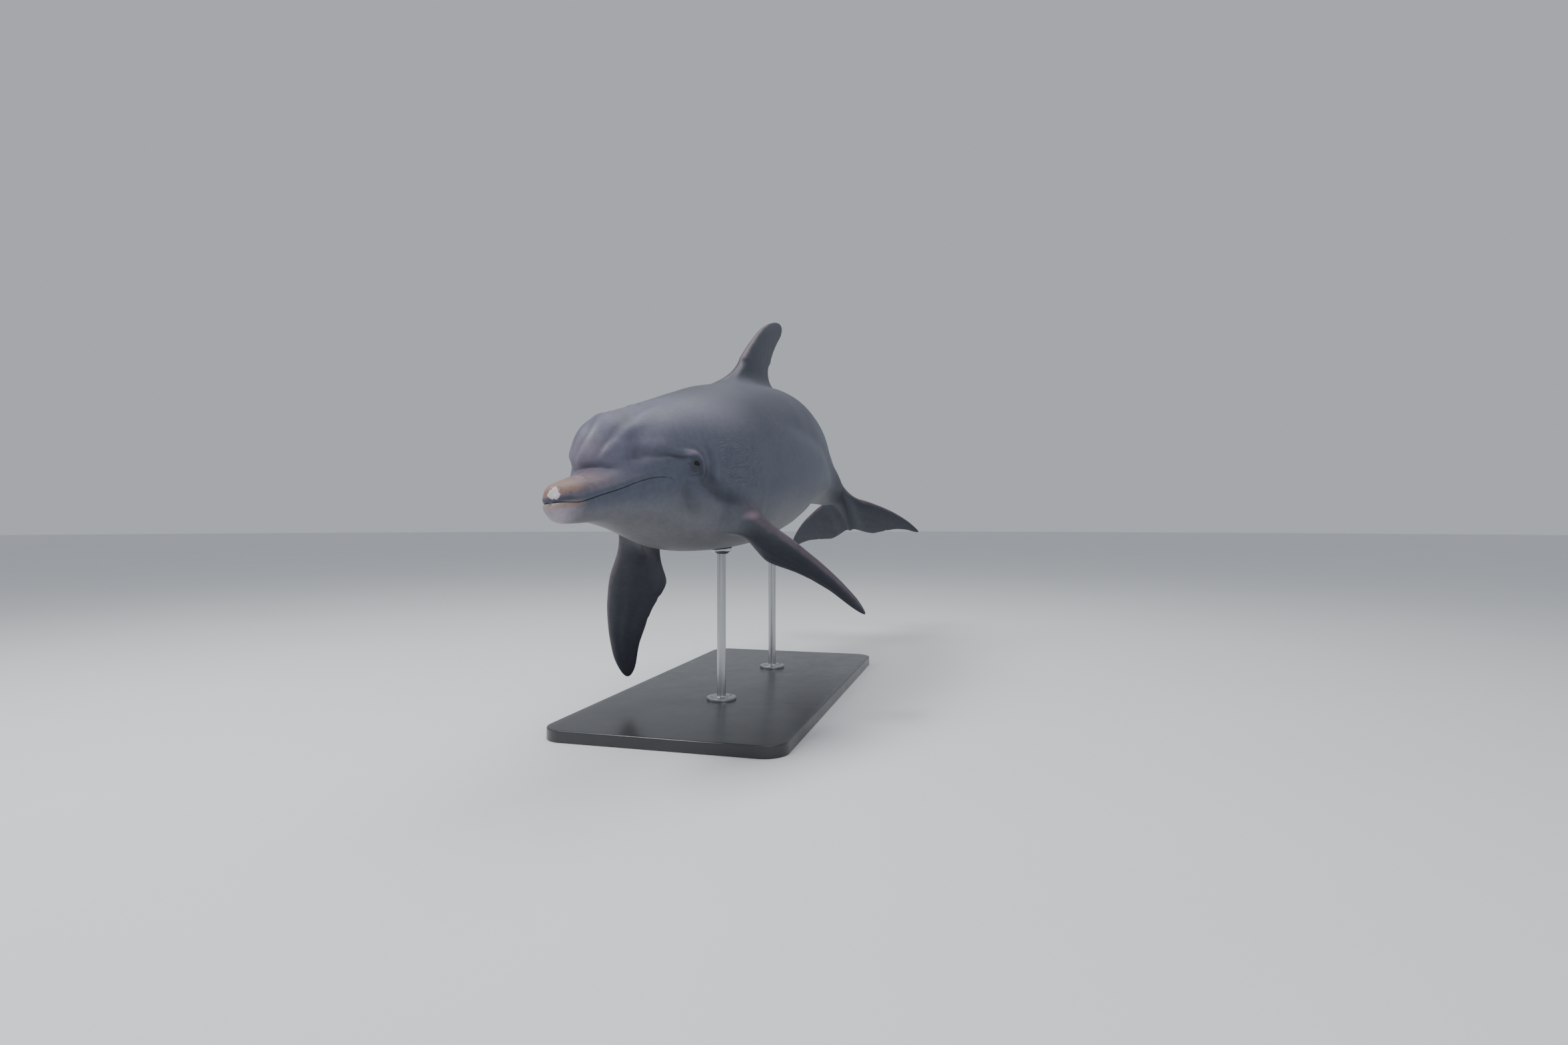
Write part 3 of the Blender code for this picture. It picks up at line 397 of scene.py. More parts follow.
def graft(grid, fin, stations):             # rings of a fin from the edge of its patch to its tip
    columns = grid.shape[1]
    loop, tangents, around, removed = patchLoop(grid, fin, stations)
    count = len(loop)
    edge = np.array([grid[i, j % columns] for i, j in loop])
    column, half = fin["column"], fin["halfColumns"]
    middle = (loop[0][0] + max(i for i, _ in loop)) // 2
    across = grid[middle, (column + half) % columns] - grid[middle, (column - half) % columns]
    across /= np.linalg.norm(across)
    skew = math.atan2(-fin["chordWay"] @ across, fin["chordWay"][0])
    normal = np.cross(fin["chordWay"], fin["spanWay"])
    if normal @ (math.sin(skew) * np.array([1.0, 0, 0]) + math.cos(skew) * across) < 0:
        normal = -normal
        fin = dict(fin, curl=-fin["curl"], twist=-fin["twist"])
    step = 2 * math.pi / count
    shift = round(skew / step)
    even = (np.arange(count) - shift) * step
    atRoot = even + (around - skew - even + math.pi) % (2 * math.pi) - math.pi
    start, rounded = fin["starts"], fin["roundFrom"]
    shares = list(np.linspace(start, rounded, skin["finRows"]))
    tip = np.sin(np.linspace(0, math.pi / 2, skin["tipRows"] + 1)[1:])
    shares += list(rounded + (1 - rounded) * tip)
    rows = []
    for share in shares:
        settled = ease(share, start, start + skin["rootSettles"])
        angles = atRoot * (1 - settled) + even * settled
        softness = fade(share, start, start + skin["rootSoftens"])
        rows.append((finRing(fin, normal, share, angles), share, -np.cos(angles), softness))
    ring = rows[0][0]
    leave = finRing(fin, normal, start + 0.001, atRoot) - ring
    leave /= np.linalg.norm(leave, axis=1)[:, None]
    pull = np.linalg.norm(ring - edge, axis=1)[:, None] * fin["pull"]
    fillet = []
    for t in np.arange(1, skin["filletRows"]) / skin["filletRows"]:
        points = ((1 + 2 * t) * (1 - t) ** 2 * edge + t * (1 - t) ** 2 * pull * tangents
                  + t * t * (3 - 2 * t) * ring + t * t * (t - 1) * pull * leave)
        fillet.append((points, start * t, -np.cos(atRoot), 1.0))
    return loop, fillet + rows, shift % count, removed


# The skin's rings; on the head they crowd along the mouth line and the eyes
mouth = {
    "line": np.array([(-0.03, -0.009), (0.0, -0.009), (0.05, -0.0145), (0.10, -0.0075), (0.15, 0.0),
                      (0.20, 0.0105), (0.24, 0.0147), (0.275, 0.0115)]),
    "corner": 0.273, "depth": 0.0026, "width": 0.0008, "lip": 0.0011,
}
guideLine = np.concatenate([mouth["line"][:-1], [(0.278, 0.0125), (0.31, 0.0185), (0.335, 0.0275),
                                                 (0.358, 0.0335), (0.39, 0.0345), (0.47, 0.034)]])


def zoneStations(zones):
    return np.concatenate([np.linspace(start, end, count, endpoint=False) for start, end, count in zones])


def ringStations():
    steps = np.linspace(0, math.pi / 2, skin["tipRings"] + 2)[1:-1]
    beak = body["beakStart"] + body["beakRound"] * (1 - np.cos(steps) ** 0.8)
    head = np.concatenate([beak, zoneStations(skin["headZones"])])
    steps = np.linspace(0, math.pi / 2, skin["tipRings"] // 2 + 1)[1:]
    tail = body["length"] - body["tailRound"] * (1 - np.cos(steps))[::-1]
    trunk = np.concatenate([zoneStations(skin["bodyZones"]), [skin["bodyZones"][-1][1]], tail])
    return head, trunk


def headAngles(stations):      # two columns on the head for each one on the trunk
    quarter = skin["columns"] // 2
    height = through(guideLine[:, 0], guideLine[:, 1], stations)
    side = sidePoint(np.maximum(stations, 0.002), height, 1)
    guide = np.arctan2(side[:, 1], height - axisHeight(stations))
    sure = ease(stations, body["beakStart"] + 0.001, body["beakStart"] + 0.010)    # level at the very tip
    guide = math.pi / 2 * (1 - sure) + np.clip(guide, *skin["guideAngles"]) * sure
    x = (np.arange(quarter) + 0.5) / quarter
    spacing = 1 - (1 - skin["closeColumns"]) * ease(x, *skin["closeFrom"])
    share = np.concatenate([[0], np.cumsum(spacing)]) / spacing.sum()
    upper = guide[:, None] * share[None, :]
    lower = guide[:, None] + (math.pi - guide[:, None]) * (1 - share[::-1][None, 1:])
    half = np.concatenate([upper, lower], axis=1)
    even = np.linspace(0, math.pi, 2 * quarter + 1)[None, :]
    close = fade(stations, *skin["closeUntil"])[:, None]
    half = even + (half - even) * close
    return np.concatenate([half, 2 * math.pi - half[:, -2:0:-1]], axis=1)


def castRings(stations, angles):
    s = np.broadcast_to(stations[:, None], angles.shape)
    up = np.cos(angles)
    lean = body["ringLean"] * between(s, *body["leaning"]) * np.clip(up, 0, 1) ** 3
    start = np.stack([s, 0 * s, axisHeight(s)], -1)
    grid = cast(start, np.stack([-lean, np.sin(angles), up], -1))
    grid[..., 0] -= body["underbite"] * fade(s, 0, 0.06) * ease(-grid[..., 2], 0.0085, 0.0130)
    return grid


def bridge(near, far):         # faces between two rings, the nearer with as many or twice the points
    ratio = len(near) // len(far)
    return [(far[k], far[(k + 1) % len(far)],
             *(near[(k * ratio + n) % len(near)] for n in range(ratio, -1, -1))) for k in range(len(far))]


def skinFaces():
    headStations, trunkStations = ringStations()
    head = castRings(headStations, headAngles(headStations))
    columns = skin["columns"]
    even = np.broadcast_to(np.arange(columns) * 2 * math.pi / columns, (len(trunkStations), columns))
    trunk = castRings(trunkStations, even)
    points = [*head.reshape(-1, 3), *trunk.reshape(-1, 3)]
    plain = (0.0, 0.0, 0.0, 0.0)                     # kind of fin, share, edge, softness
    marks = [plain] * len(points)
    faces = []
    headRings = np.arange(head.shape[0] * head.shape[1]).reshape(head.shape[:2])
    index = np.arange(trunk.shape[0] * columns).reshape(trunk.shape[:2]) + headRings.size
    removed = set()
    for fin in allFins():
        loop, rows, lead, patch = graft(trunk, fin, trunkStations)
        removed |= patch
        count = len(loop)
        previous = [int(index[i, j % columns]) for i, j in loop]
        for row, share, edges, soft in rows:
            current = list(range(len(points), len(points) + count))
            points += list(row)
            marks += [(fin["kind"], share, float(e), float(soft)) for e in edges]
            faces += bridge(current, previous)
            previous = current
        for k in range(count // 2):
            corners = [previous[(lead + k) % count], previous[(lead + k + 1) % count],
                       previous[(lead - k - 1) % count], previous[(lead - k) % count]]
            faces.append(tuple(dict.fromkeys(corners)))
    for near, far in zip(headRings, [*headRings[1:], index[0]]):
        faces += bridge(near, far)
    for i in range(len(index) - 1):
        faces += [face for j, face in enumerate(bridge(index[i + 1], index[i])) if (i, j) not in removed]
    for ring, tipS, order in ((headRings[0], body["beakStart"] - body["underbite"] / 2, -1),
                              (index[-1], body["length"], 1)):
        tip = len(points)
        points.append(np.array([tipS, 0.0, np.mean([points[v][2] for v in ring])]))
        marks.append(plain)
        for k in range(len(ring)):
            faces.append((tip, *(ring[k], ring[(k + 1) % len(ring)])[::order]))
    return np.array(points), np.array(marks), [tuple(map(int, face)) for face in faces if len(face) > 2]


# Finer mesh round the eyes, the blowhole, the neck wrinkles and the belly's slits
fineAreas = (    # low corner, high corner, times halved
    ((0.330, 0.10, 0.004), (0.392, 0.30, 0.072), 1),
    ((0.343, 0.10, 0.020), (0.373, 0.30, 0.049), 1),
    ((0.340, 0.00, 0.120), (0.402, 0.034, 0.30), 1),
    ((0.352, 0.00, 0.120), (0.388, 0.024, 0.30), 1),
    ((0.425, 0.10, -0.030), (0.640, 0.30, 0.105), 1),
    ((0.470, 0.10, -0.030), (0.640, 0.30, 0.100), 1),
    ((1.440, 0.00, -0.30), (1.700, 0.020, -0.10), 2),
    ((1.130, 0.00, -0.30), (1.175, 0.020, -0.10), 2),
)


def vertexTable(bm, layers):
    bm.verts.ensure_lookup_table()
    points = np.array([v.co[:] for v in bm.verts])
    marks = np.array([[v[layer] for layer in layers] for v in bm.verts])
    return points, marks


def refine(bm, low, high, times, kindLayer):
    low, high = np.array(low), np.array(high)

    def within(spot, margin):
        spot = np.array([spot.x, abs(spot.y), spot.z])
        return (spot >= low - margin).all() and (spot <= high + margin).all()

    for _ in range(times):
        chosen = set()
        for face in bm.faces:
            if within(face.calc_center_median(), 0) and all(v[kindLayer] == 0 for v in face.verts):
                chosen.update(face.edges)
        bmesh.ops.subdivide_edges(bm, edges=list(chosen), cuts=1, use_grid_fill=True)
        fresh = [v for v in bm.verts if v[kindLayer] == 0 and within(v.co, skin["fineMargin"])]
        points = np.array([v.co[:] for v in fresh])
        for _ in range(skin["slide"]):
            way, size = outward(points)
            points -= way * (depthField(points) / size)[:, None]
        for v, p in zip(fresh, points):
            v.co = p


# Forms and folds of the skin, as offsets along its normal
def nearCurve(flat, knots):    # distance to a smooth curve, which side of it, and how far along
    knots = np.array(knots)
    at = np.linspace(0, 1, len(knots))
    fine = np.linspace(0, 1, 16 * len(knots))
    line = np.stack([through(at, knots[:, 0], fine), through(at, knots[:, 1], fine)], 1)
    away = flat[:, None, :] - line[None, :, :]
    nearest = np.argmin((away ** 2).sum(axis=2), axis=1)
    way = np.gradient(line, axis=0)[nearest]
    away = away[np.arange(len(flat)), nearest]
    side = np.sign(way[:, 0] * away[:, 1] - way[:, 1] * away[:, 0])
    return np.linalg.norm(away, axis=1) * side, fine[nearest]


sideFolds = {    # valley depth (a ridge below zero), width, where it fades in and out, s and z of its knots
    "eye socket": (-0.0026, 0.0052, (0.0, 0.30, 0.62, 1.0), (
        (0.290, 0.0672), (0.318, 0.0618), (0.344, 0.0612), (0.363, 0.0560), (0.3750, 0.0435), (0.3790, 0.026),
        (0.372, 0.009), (0.356, 0.002))),
    "behind the socket": (0.0012, 0.0042, (0.0, 0.3, 0.7, 1.0), (
        (0.345, 0.073), (0.369, 0.0665), (0.3845, 0.050), (0.389, 0.028), (0.382, 0.006), (0.366, -0.008))),
    "brow hollow": (0.0027, 0.0052, (0.0, 0.4, 0.8, 1.0), (
        (0.255, 0.0615), (0.282, 0.0590), (0.306, 0.0548), (0.332, 0.0525), (0.352, 0.0510))),
    "before the eye": (0.0013, 0.0030, (0.0, 0.5, 0.8, 1.0), (
        (0.318, 0.044), (0.330, 0.038), (0.341, 0.034))),
    "under the eye": (0.0014, 0.0026, (0.0, 0.4, 0.7, 1.0), (
        (0.326, 0.022), (0.340, 0.0125), (0.357, 0.010), (0.370, 0.017))),
    "pouch": (0.0012, 0.0045, (0.0, 0.4, 0.7, 1.0), ((0.318, 0.008), (0.338, -0.003), (0.358, -0.006))),
    "mouth corner": (0.0016, 0.0026, (0.0, 0.1, 0.4, 1.0), (
        (0.2725, 0.0125), (0.2815, 0.0085), (0.2875, 0.0000), (0.290, -0.012))),
    "cheek": (0.0032, 0.0150, (0.0, 0.35, 0.7, 1.0), (
        (0.312, 0.012), (0.322, -0.012), (0.340, -0.040), (0.372, -0.068), (0.410, -0.092))),
    "eye to flipper": (0.0036, 0.0110, (0.0, 0.2, 0.75, 1.0), (
        (0.352, 0.006), (0.378, -0.010), (0.412, -0.030), (0.450, -0.046), (0.505, -0.062), (0.560, -0.080))),
    "neck": (0.0026, 0.0100, (0.0, 0.35, 0.75, 1.0), (
        (0.402, 0.090), (0.409, 0.062), (0.412, 0.034), (0.404, 0.004), (0.400, -0.016))),
}


def cutFolds(p, trunk):
    offset = np.zeros(len(p))
    area = (trunk > 0) & (p[:, 0] > 0.24) & (p[:, 0] < 0.62) & (abs(p[:, 1]) > 0.06)
    flat = p[area][:, [0, 2]]
    wander = np.stack([ripple(p[area], 0.035, 41), ripple(p[area], 0.035, 42)], 1) * 0.0008
    for depth, width, (start, *fade), knots in sideFolds.values():
        away, along = nearCurve(flat + wander, knots)
        strength = between(along, start - 1e-6, *fade) * ((along > 0) & (along < 1))
        offset[area] -= depth * bell(away, 0, width) * strength
        if depth > 0:                              # flesh gathers beside a valley
            offset[area] += 0.3 * depth * bell(abs(away), 2.1 * width, 1.2 * width) * strength
    return offset


def mouthFold(p, trunk):
    s, z = p[:, 0], p[:, 2]
    d = z - through(mouth["line"][:, 0], mouth["line"][:, 1], s)
    parted = trunk * fade(s, mouth["corner"] - 0.012, mouth["corner"] + 0.004)
    near = trunk * fade(s, 0.22, 0.30)
    slit = bell(d, 0, mouth["width"])
    lips = bell(d, 0.0085, 0.0065) + bell(d, -0.0095, 0.0070)
    fold = -mouth["depth"] * slit * parted - 0.0009 * bell(d, 0, 0.0042) * near
    corner = bell(s, 0.2835, 0.0060) * bell(d, 0.001, 0.0085)    # the small pad behind the corner
    # the second value is painted shade in the parted mouth slit
    return fold + mouth["lip"] * lips * near + 0.0014 * corner * trunk, slit ** 1.5 * parted


melonFolds = {
    "heights": np.array([0.070, 0.090, 0.110, 0.133, 0.157, 0.175]),
    # where each furrow runs at those heights, from the right side over to the left
    "furrows": np.array([(-0.072, -0.068, -0.064, -0.058, -0.050, -0.046),
                         (-0.048, -0.0385, -0.034, -0.029, -0.0215, -0.020),
                         (-0.0275, -0.017, -0.0085, 0.0, -0.0014, -0.006),
                         (0.025, 0.037, 0.048, 0.0535, 0.050, 0.054)]),
    "step": 0.0054, "crease": 0.0016,
}


def melonFurrows(p, trunk):    # oblique folds that lap down the brow to the crease over the beak
    s, y, z = p.T
    rows = [through(melonFolds["heights"], furrow, z) for furrow in melonFolds["furrows"]]
    lines = np.stack([rows[0] - 0.04] + rows + [rows[-1] + 0.038]) + 0.0014 * ripple(p, 0.06, 3)
    span = np.clip((y > lines).sum(axis=0) - 1, 0, len(lines) - 2)
    each = np.arange(len(p))
    low, high = lines[span, each], lines[span + 1, each]
    turned = np.clip((y - low) / (high - low), 0, 1)
    front = (trunk * fade(s, 0.29, 0.41) * ease(z, 0.045, 0.078) * (1 - 0.3 * ease(z, 0.13, 0.17))
             * between(y, lines[0] + 0.01, lines[1], lines[-1] - 0.02, lines[-1]))
    lap = ease(turned, 0.0, 0.28) * (1 - turned) ** 1.2
    fine = 0.03 * np.sin(2 * math.pi * 3 * turned) * ease(z, 0.07, 0.09)
    swell = (0.0034 * bell(z, 0.070, 0.020) * trunk * fade(s, 0.17, 0.22)
             * fade(abs(y), 0.06, 0.085))
    return melonFolds["step"] * (lap - 0.22 + fine) * front + swell


def beakCrease(p, trunk):      # the fold where the melon rises from the beak
    melon, plain = melonAndPlain(p)
    near = trunk * (p[:, 0] < 0.21) * fade(abs(p[:, 1]), 0.035, 0.070) * (p[:, 2] > 0.02)
    fold = bell(melon - plain, 0.0, 0.0060) * near
    # the second value is painted shade in the crease
    return (-melonFolds["crease"] * fold + 0.0010 * bell(melon - plain, -0.014, 0.008) * near), 0.2 * fold


browLine = np.array([(0.146, 0.053), (0.158, 0.060), (0.174, 0.066), (0.218, 0.063), (0.249, 0.062),
                     (0.28, 0.061), (0.33, 0.057)])


def browFold(p, trunk):        # the long soft hollow from the crease to the eye
    s, y, z = p.T
    d = z - through(browLine[:, 0], browLine[:, 1], s) + 0.0015 * ripple(p, 0.05, 5)
    along = trunk * between(s, 0.150, 0.185, 0.270, 0.315) * (abs(y) > 0.02)
    return along * (-0.0026 * bell(d, 0, 0.0085) + 0.0018 * bell(d, 0.020, 0.013)
                    + 0.0010 * bell(d, -0.019, 0.012))


def lidFolds(p, trunk):        # swelling over the ball, fine creases beside the lids
    s, z = p[:, 0] - eye["at"][0], p[:, 2] - eye["at"][1]
    side = trunk * (abs(p[:, 1]) > 0.08)
    r = np.hypot(s, z * 1.15)
    angle = np.arctan2(z, s)                                     # 0 points to the tail
    swell = 0.0022 * bell(r, 0, 0.0150)
    beside = ease(abs(np.cos(angle)), 0.35, 0.8)
    crows = np.sin(15 * angle + 2 * ripple(p, 0.03, 8)) * bell(r, 0.0175, 0.0055) * beside
    upper = bell(z, 0.0078 + 0.0016 * np.cos(1.2 * angle) - 22 * (s + 0.001) ** 2, 0.0010)
    upper = upper * fade(abs(s), 0.007, 0.0125) * (z > 0)
    lower = bell(z, -0.0072 + 24 * (s - 0.001) ** 2, 0.0011) * fade(abs(s), 0.006, 0.012) * (z < 0)
    offset = swell - 0.0019 * upper - 0.0012 * lower + 0.00034 * crows
    # the second value is painted shade in the creases of the lids
    return side * offset, side * (0.35 * upper + 0.25 * lower)


neck = {"spacing": 0.0088, "deep": 0.0013, "shallower": 0.0006, "rise": 0.23, "fall": 0.03}


def neckWrinkles(p, trunk):    # short, broken wrinkles behind the eye that rise to the rear
    s, y, z = p.T
    area = (trunk * (abs(y) > 0.09) * between(s, 0.430, 0.465, 0.60, 0.66)
            * between(z, -0.060, -0.020, 0.065, 0.095))
    rise = neck["rise"] * (s - 0.5) * ease(z, -0.03, 0.05) - neck["fall"] * (s - 0.5)
    phase = (z - rise) / neck["spacing"] + 0.40 * ripple(p, 0.05, 11) + 0.13 * ripple(p, 0.024, 13)
    patchy = 0.55 + 0.7 * ripple(p * np.array([0.8, 1.0, 2.0]), 0.045, 12)
    depth = neck["deep"] - neck["shallower"] * ease(z, 0.0, 0.06)
    return depth * np.sin(2 * math.pi * phase) * area * np.clip(patchy, 0, 1)


def muscles(p, trunk):         # the long line of the back muscle, the shoulder and uneven flesh
    s, y, z = p.T
    line = through((0.70, 0.88, 0.99, 1.14, 1.33, 1.54, 1.74, 1.95),
                   (0.125, 0.111, 0.096, 0.065, 0.018, -0.023, -0.043, -0.040), s)
    d = z - line
    flank = trunk * between(s, 0.78, 1.0, 1.75, 2.0) * (abs(y) > 0.02)
    fold = -0.0040 * bell(d, 0, 0.022) + 0.0046 * bell(d, -0.055, 0.030)
    ribs = 0.0007 * ripple(p * np.array([1.0, 1.0, 0.4]), 0.11, 21) * ease(s, 0.5, 0.7)
    keel = 0.004 * bell(z, 0, 0.03) * between(s, 1.85, 2.05, 2.1, 2.2)
    return flank * fold + trunk * (ribs * fade(s, 2.0, 2.2) + keel * (abs(y) > 0.02))


blowhole = {     # radius and width of each form, and their heights
    "at": 0.367, "oval": 1.15, "slit": (0.0118, 0.0012), "rim": (0.0165, 0.0032), "plug": (0.0, 0.0085),
    "heights": (-0.0034, 0.0009, 0.0006),
}


def blowholeFold(p, trunk):    # a crescent whose horns point forward, with a raised front lip
    s, y = p[:, 0] - blowhole["at"], p[:, 1]
    top = trunk * (p[:, 2] > 0.12)
    r = np.hypot(s, y / blowhole["oval"])
    back = ease(np.cos(np.arctan2(y, s)), -0.15, 0.35)
    slit, rim, plug = (bell(r, *blowhole[form]) for form in ("slit", "rim", "plug"))
    slit, rim = slit * back, rim * back
    valley, lip, swelling = blowhole["heights"]
    # the second value is painted shade in the blowhole's slit
    return top * (valley * slit + lip * rim + swelling * plug), top * slit


bellyMarks = (    # s, half length, depth: the navel, the genital slit and the vent
    (1.152, 0.008, 0.0016), (1.525, 0.052, 0.0030), (1.655, 0.013, 0.0022))


def bellySlits(p, trunk):      # each with a low swelling on both sides
    s, y = p[:, 0], p[:, 1]
    under = trunk * (p[:, 2] < -0.10)
    offset, dark = np.zeros(len(p)), np.zeros(len(p))
    for at, half, depth in bellyMarks:
        along = fade(abs(s - at), half * 0.7, half)
        offset += along * (-depth * bell(y, 0, 0.0016) + 0.0010 * bell(abs(y), 0.0055, 0.0035))
        # painted shade in each slit
        dark += along * bell(y, 0, 0.0016)
    return under * offset, under * dark


ear = {"behindEye": 0.052, "underEye": 0.010, "depth": 0.0010, "width": 0.0018}


def earPit(p, trunk):          # the pinhole behind each eye
    r = np.hypot(p[:, 0] - (eye["at"][0] + ear["behindEye"]), p[:, 2] - (eye["at"][1] - ear["underEye"]))
    pit = bell(r, 0, ear["width"])
    side = trunk * (abs(p[:, 1]) > 0.08)
    # the second value is painted shade in the pit
    return side * -ear["depth"] * pit, side * pit


def finForms(p, marks):        # faint finger ridges, and a slightly swollen root of the leading edge
    kind, share, edge = marks[:, 0], marks[:, 1], marks[:, 2]
    flat = np.sqrt(np.clip(1 - edge ** 2, 0, 1)) * fade(share, 0.75, 0.95) * ease(share, 0.1, 0.25)
    ridges = 0.0005 * np.cos(9 * edge + 2 * ripple(p, 0.2, 31)) * flat * (kind == 2)
    knuckle = 0.0020 * bell(share, 0.13, 0.06) * ease(-edge, 0.2, 0.9) * (kind == 2)
    uneven = 0.0003 * ripple(p, 0.05, 32) * flat * (kind > 0)
    return ridges + knuckle + uneven


def openEyes(p):               # lifts the skin into lids over each ball and sinks it within the opening
    lidShade = np.zeros(len(p))
    for side, (centre, normal) in eyes.items():
        back = np.array([1.0, 0.0, 0.0]) - normal * normal[0]
        back /= np.linalg.norm(back)
        up = np.cross(normal, back) if side < 0 else np.cross(back, normal)
        up *= np.sign(up[2])
        local = p - centre
        near = np.linalg.norm(local, axis=1) < eye["reach"]
        q = local[near]
        a, b, h = q @ back, q @ up, q @ normal
        tilted = b - eye["slant"] * a
        ball = np.sqrt(np.clip(eye["radius"] ** 2 - a * a - b * b, 0, None))
        height = np.where(tilted > 0, eye["upper"], eye["lower"])
        reach = (a / eye["halfLength"]) ** 2 + abs(tilted) / height - 1
        gap = reach * height                       # distance past the edge of the opening
        over, softness = ball + eye["lid"], eye["softness"]
        raised = np.log(np.exp(h / softness) + np.exp(over / softness)) * softness
        settle = ease(np.hypot(a, b), *eye["settle"])
        outside = raised * (1 - settle) + h * settle
        inside = ball - eye["sunk"]
        shut = ease(gap, -0.0007, 0.0005)
        p[near] += normal * ((inside * (1 - shut) + outside * shut) - h)[:, None]
        lidShade[near] = np.maximum(lidShade[near], fade(gap, 0.0, eye["lidShade"]))
    return lidShade


def neighbours(bm):            # the pairs of joined vertices, and how many each vertex has
    pairs = np.array([(e.verts[0].index, e.verts[1].index) for e in bm.edges])
    both = np.concatenate([pairs, pairs[:, ::-1]])
    count = np.bincount(both[:, 0], minlength=len(bm.verts))[:, None]
    return both, count


def blurred(values, both, count):     # each value replaced by the mean of its neighbours
    total = np.zeros_like(values)
    np.add.at(total, both[:, 0], values[both[:, 1]])
    return total / count


def linked(name, data):        # a new object in the scene
    obj = bpy.data.objects.new(name, data)
    bpy.context.scene.collection.objects.link(obj)
    return obj


def addField(mesh, name, values, kind="FLOAT", part="value"):
    field = mesh.attributes.new(name, kind, "POINT")
    field.data.foreach_set(part, np.asarray(values, np.float32).ravel())


def faceOutward(bm):
    bmesh.ops.recalc_face_normals(bm, faces=bm.faces)
    inward = bm.calc_volume(signed=True) < 0
    print("faces turned over:", inward)
    if inward:
        bmesh.ops.reverse_faces(bm, faces=bm.faces)


def buildSkin():
    points, marks, faces = skinFaces()
    bm = bmesh.new()
    layers = [bm.verts.layers.float.new(name) for name in ("finKind", "finShare", "finEdge", "finSoft")]
    verts = [bm.verts.new(p) for p in points]
    for v, mark in zip(verts, marks):
        for layer, value in zip(layers, mark):
            v[layer] = value
    for face in faces:
        bm.faces.new([verts[k] for k in face])
    bmesh.ops.delete(bm, geom=[v for v in bm.verts if not v.link_faces], context="VERTS")
    for area in fineAreas:
        refine(bm, *area, layers[0])
    many = [face for face in bm.faces if len(face.verts) > 4]
    bmesh.ops.triangulate(bm, faces=many, quad_method="BEAUTY", ngon_method="BEAUTY")
    bm.verts.index_update()
    faceOutward(bm)
    points, marks = vertexTable(bm, layers)
    both, count = neighbours(bm)

    soft = marks[:, 3:4].copy()
    for _ in range(skin["spreading"]):
        soft = np.maximum(soft, skin["spread"] * blurred(soft, both, count))
    for _ in range(skin["softening"]):
        points += 0.5 * soft * (blurred(points, both, count) - points)
    s, _, z = points.T                             # the dorsal fin and the flukes blend in over more
    crest = soft[:, 0] * between(s, *skin["crest"]) * (z > skin["crestHeight"])
    tail = ease(s, *skin["tailBlend"]) * fade(marks[:, 1], *skin["flukeBlend"])
    for _ in range(skin["blending"]):
        points += 0.5 * np.maximum(crest, tail)[:, None] * (blurred(points, both, count) - points)
    for v, p in zip(bm.verts, points):
        v.co = p
    bm.normal_update()
    normals = np.array([v.normal[:] for v in bm.verts])

    trunk = np.where(marks[:, 0] == 0, 1.0, fade(marks[:, 1], 0.0, 0.12))
    offset, crevice, relief = np.zeros(len(points)), np.zeros(len(points)), np.zeros(len(points))
    # each fold's second value is painted shade in its crevice
    for fold in (mouthFold, beakCrease, lidFolds, blowholeFold, bellySlits, earPit):
        more, dark = fold(points, trunk)
        offset += more
        crevice = np.maximum(crevice, dark)
    # each form's offset, weighted, also becomes painted shading: lighter on ridges, darker in valleys
    for form, shadingWeight in ((melonFurrows, 400), (browFold, 120), (cutFolds, 200), (neckWrinkles, 300),
                       (muscles, 60)):
        more = form(points, trunk)
        offset += more
        relief += more * shadingWeight
    offset += finForms(points, marks)
    straight = points.copy()
    points = points + normals * offset[:, None]
    # openEyes also gives painted shade round the edge of each eye opening
    lids = openEyes(points)

    for v, p in zip(bm.verts, place(points)):
        v.co = p
    faceOutward(bm)
    mesh = bpy.data.meshes.new("dolphin_skin")
    bm.to_mesh(mesh)
    bm.free()
    mesh.shade_smooth()
    s, _, z = straight.T
    middle = axisHeight(s)
    lift = (z - middle) / np.where(z > middle, profile(1, s) - middle, middle - profile(2, s)).clip(0.01)
    for name, values in (("lift", np.clip(lift, -1, 1)), ("crevice", crevice), ("lids", lids),
                         ("relief", np.clip(relief, -1, 1)), ("stripe", eyeStripeAndRootShade(straight) * trunk)):
        addField(mesh, name, values)
    addField(mesh, "straight", straight, "FLOAT_VECTOR", "vector")
    return linked("dolphin_skin", mesh)


def eyeStripeAndRootShade(p):              # the dark band from the eye down to the flipper
    # part marking and part painted shade, with more painted shade in the hollow round the flipper's root
    s, z = p[:, 0], p[:, 2]
    line = through((0.34, 0.38, 0.41, 0.44, 0.50, 0.58, 0.66),
                   (0.020, 0.010, -0.012, -0.034, -0.056, -0.084, -0.10), s)
    width = np.interp(s, (0.34, 0.40, 0.46, 0.56, 0.66), (0.020, 0.030, 0.026, 0.022, 0.022))
    along = between(s, 0.335, 0.375, 0.57, 0.66)
    # painted shade round the flipper's root
    shoulder = bell(np.hypot((s - 0.535) * 0.8, z + 0.085), 0, 0.055) * ease(abs(p[:, 1]), 0.08, 0.12)
    return np.maximum(bell(z, line, width) * along, 0.8 * shoulder)


# Shader maths written as sums
def tone(red, green, blue):    # a colour as a painter would mix it on screen
    return tuple(((c / 255 + 0.055) / 1.055) ** 2.4 if c > 10 else c / 255 / 12.92
                 for c in (red, green, blue)) + (1.0,)


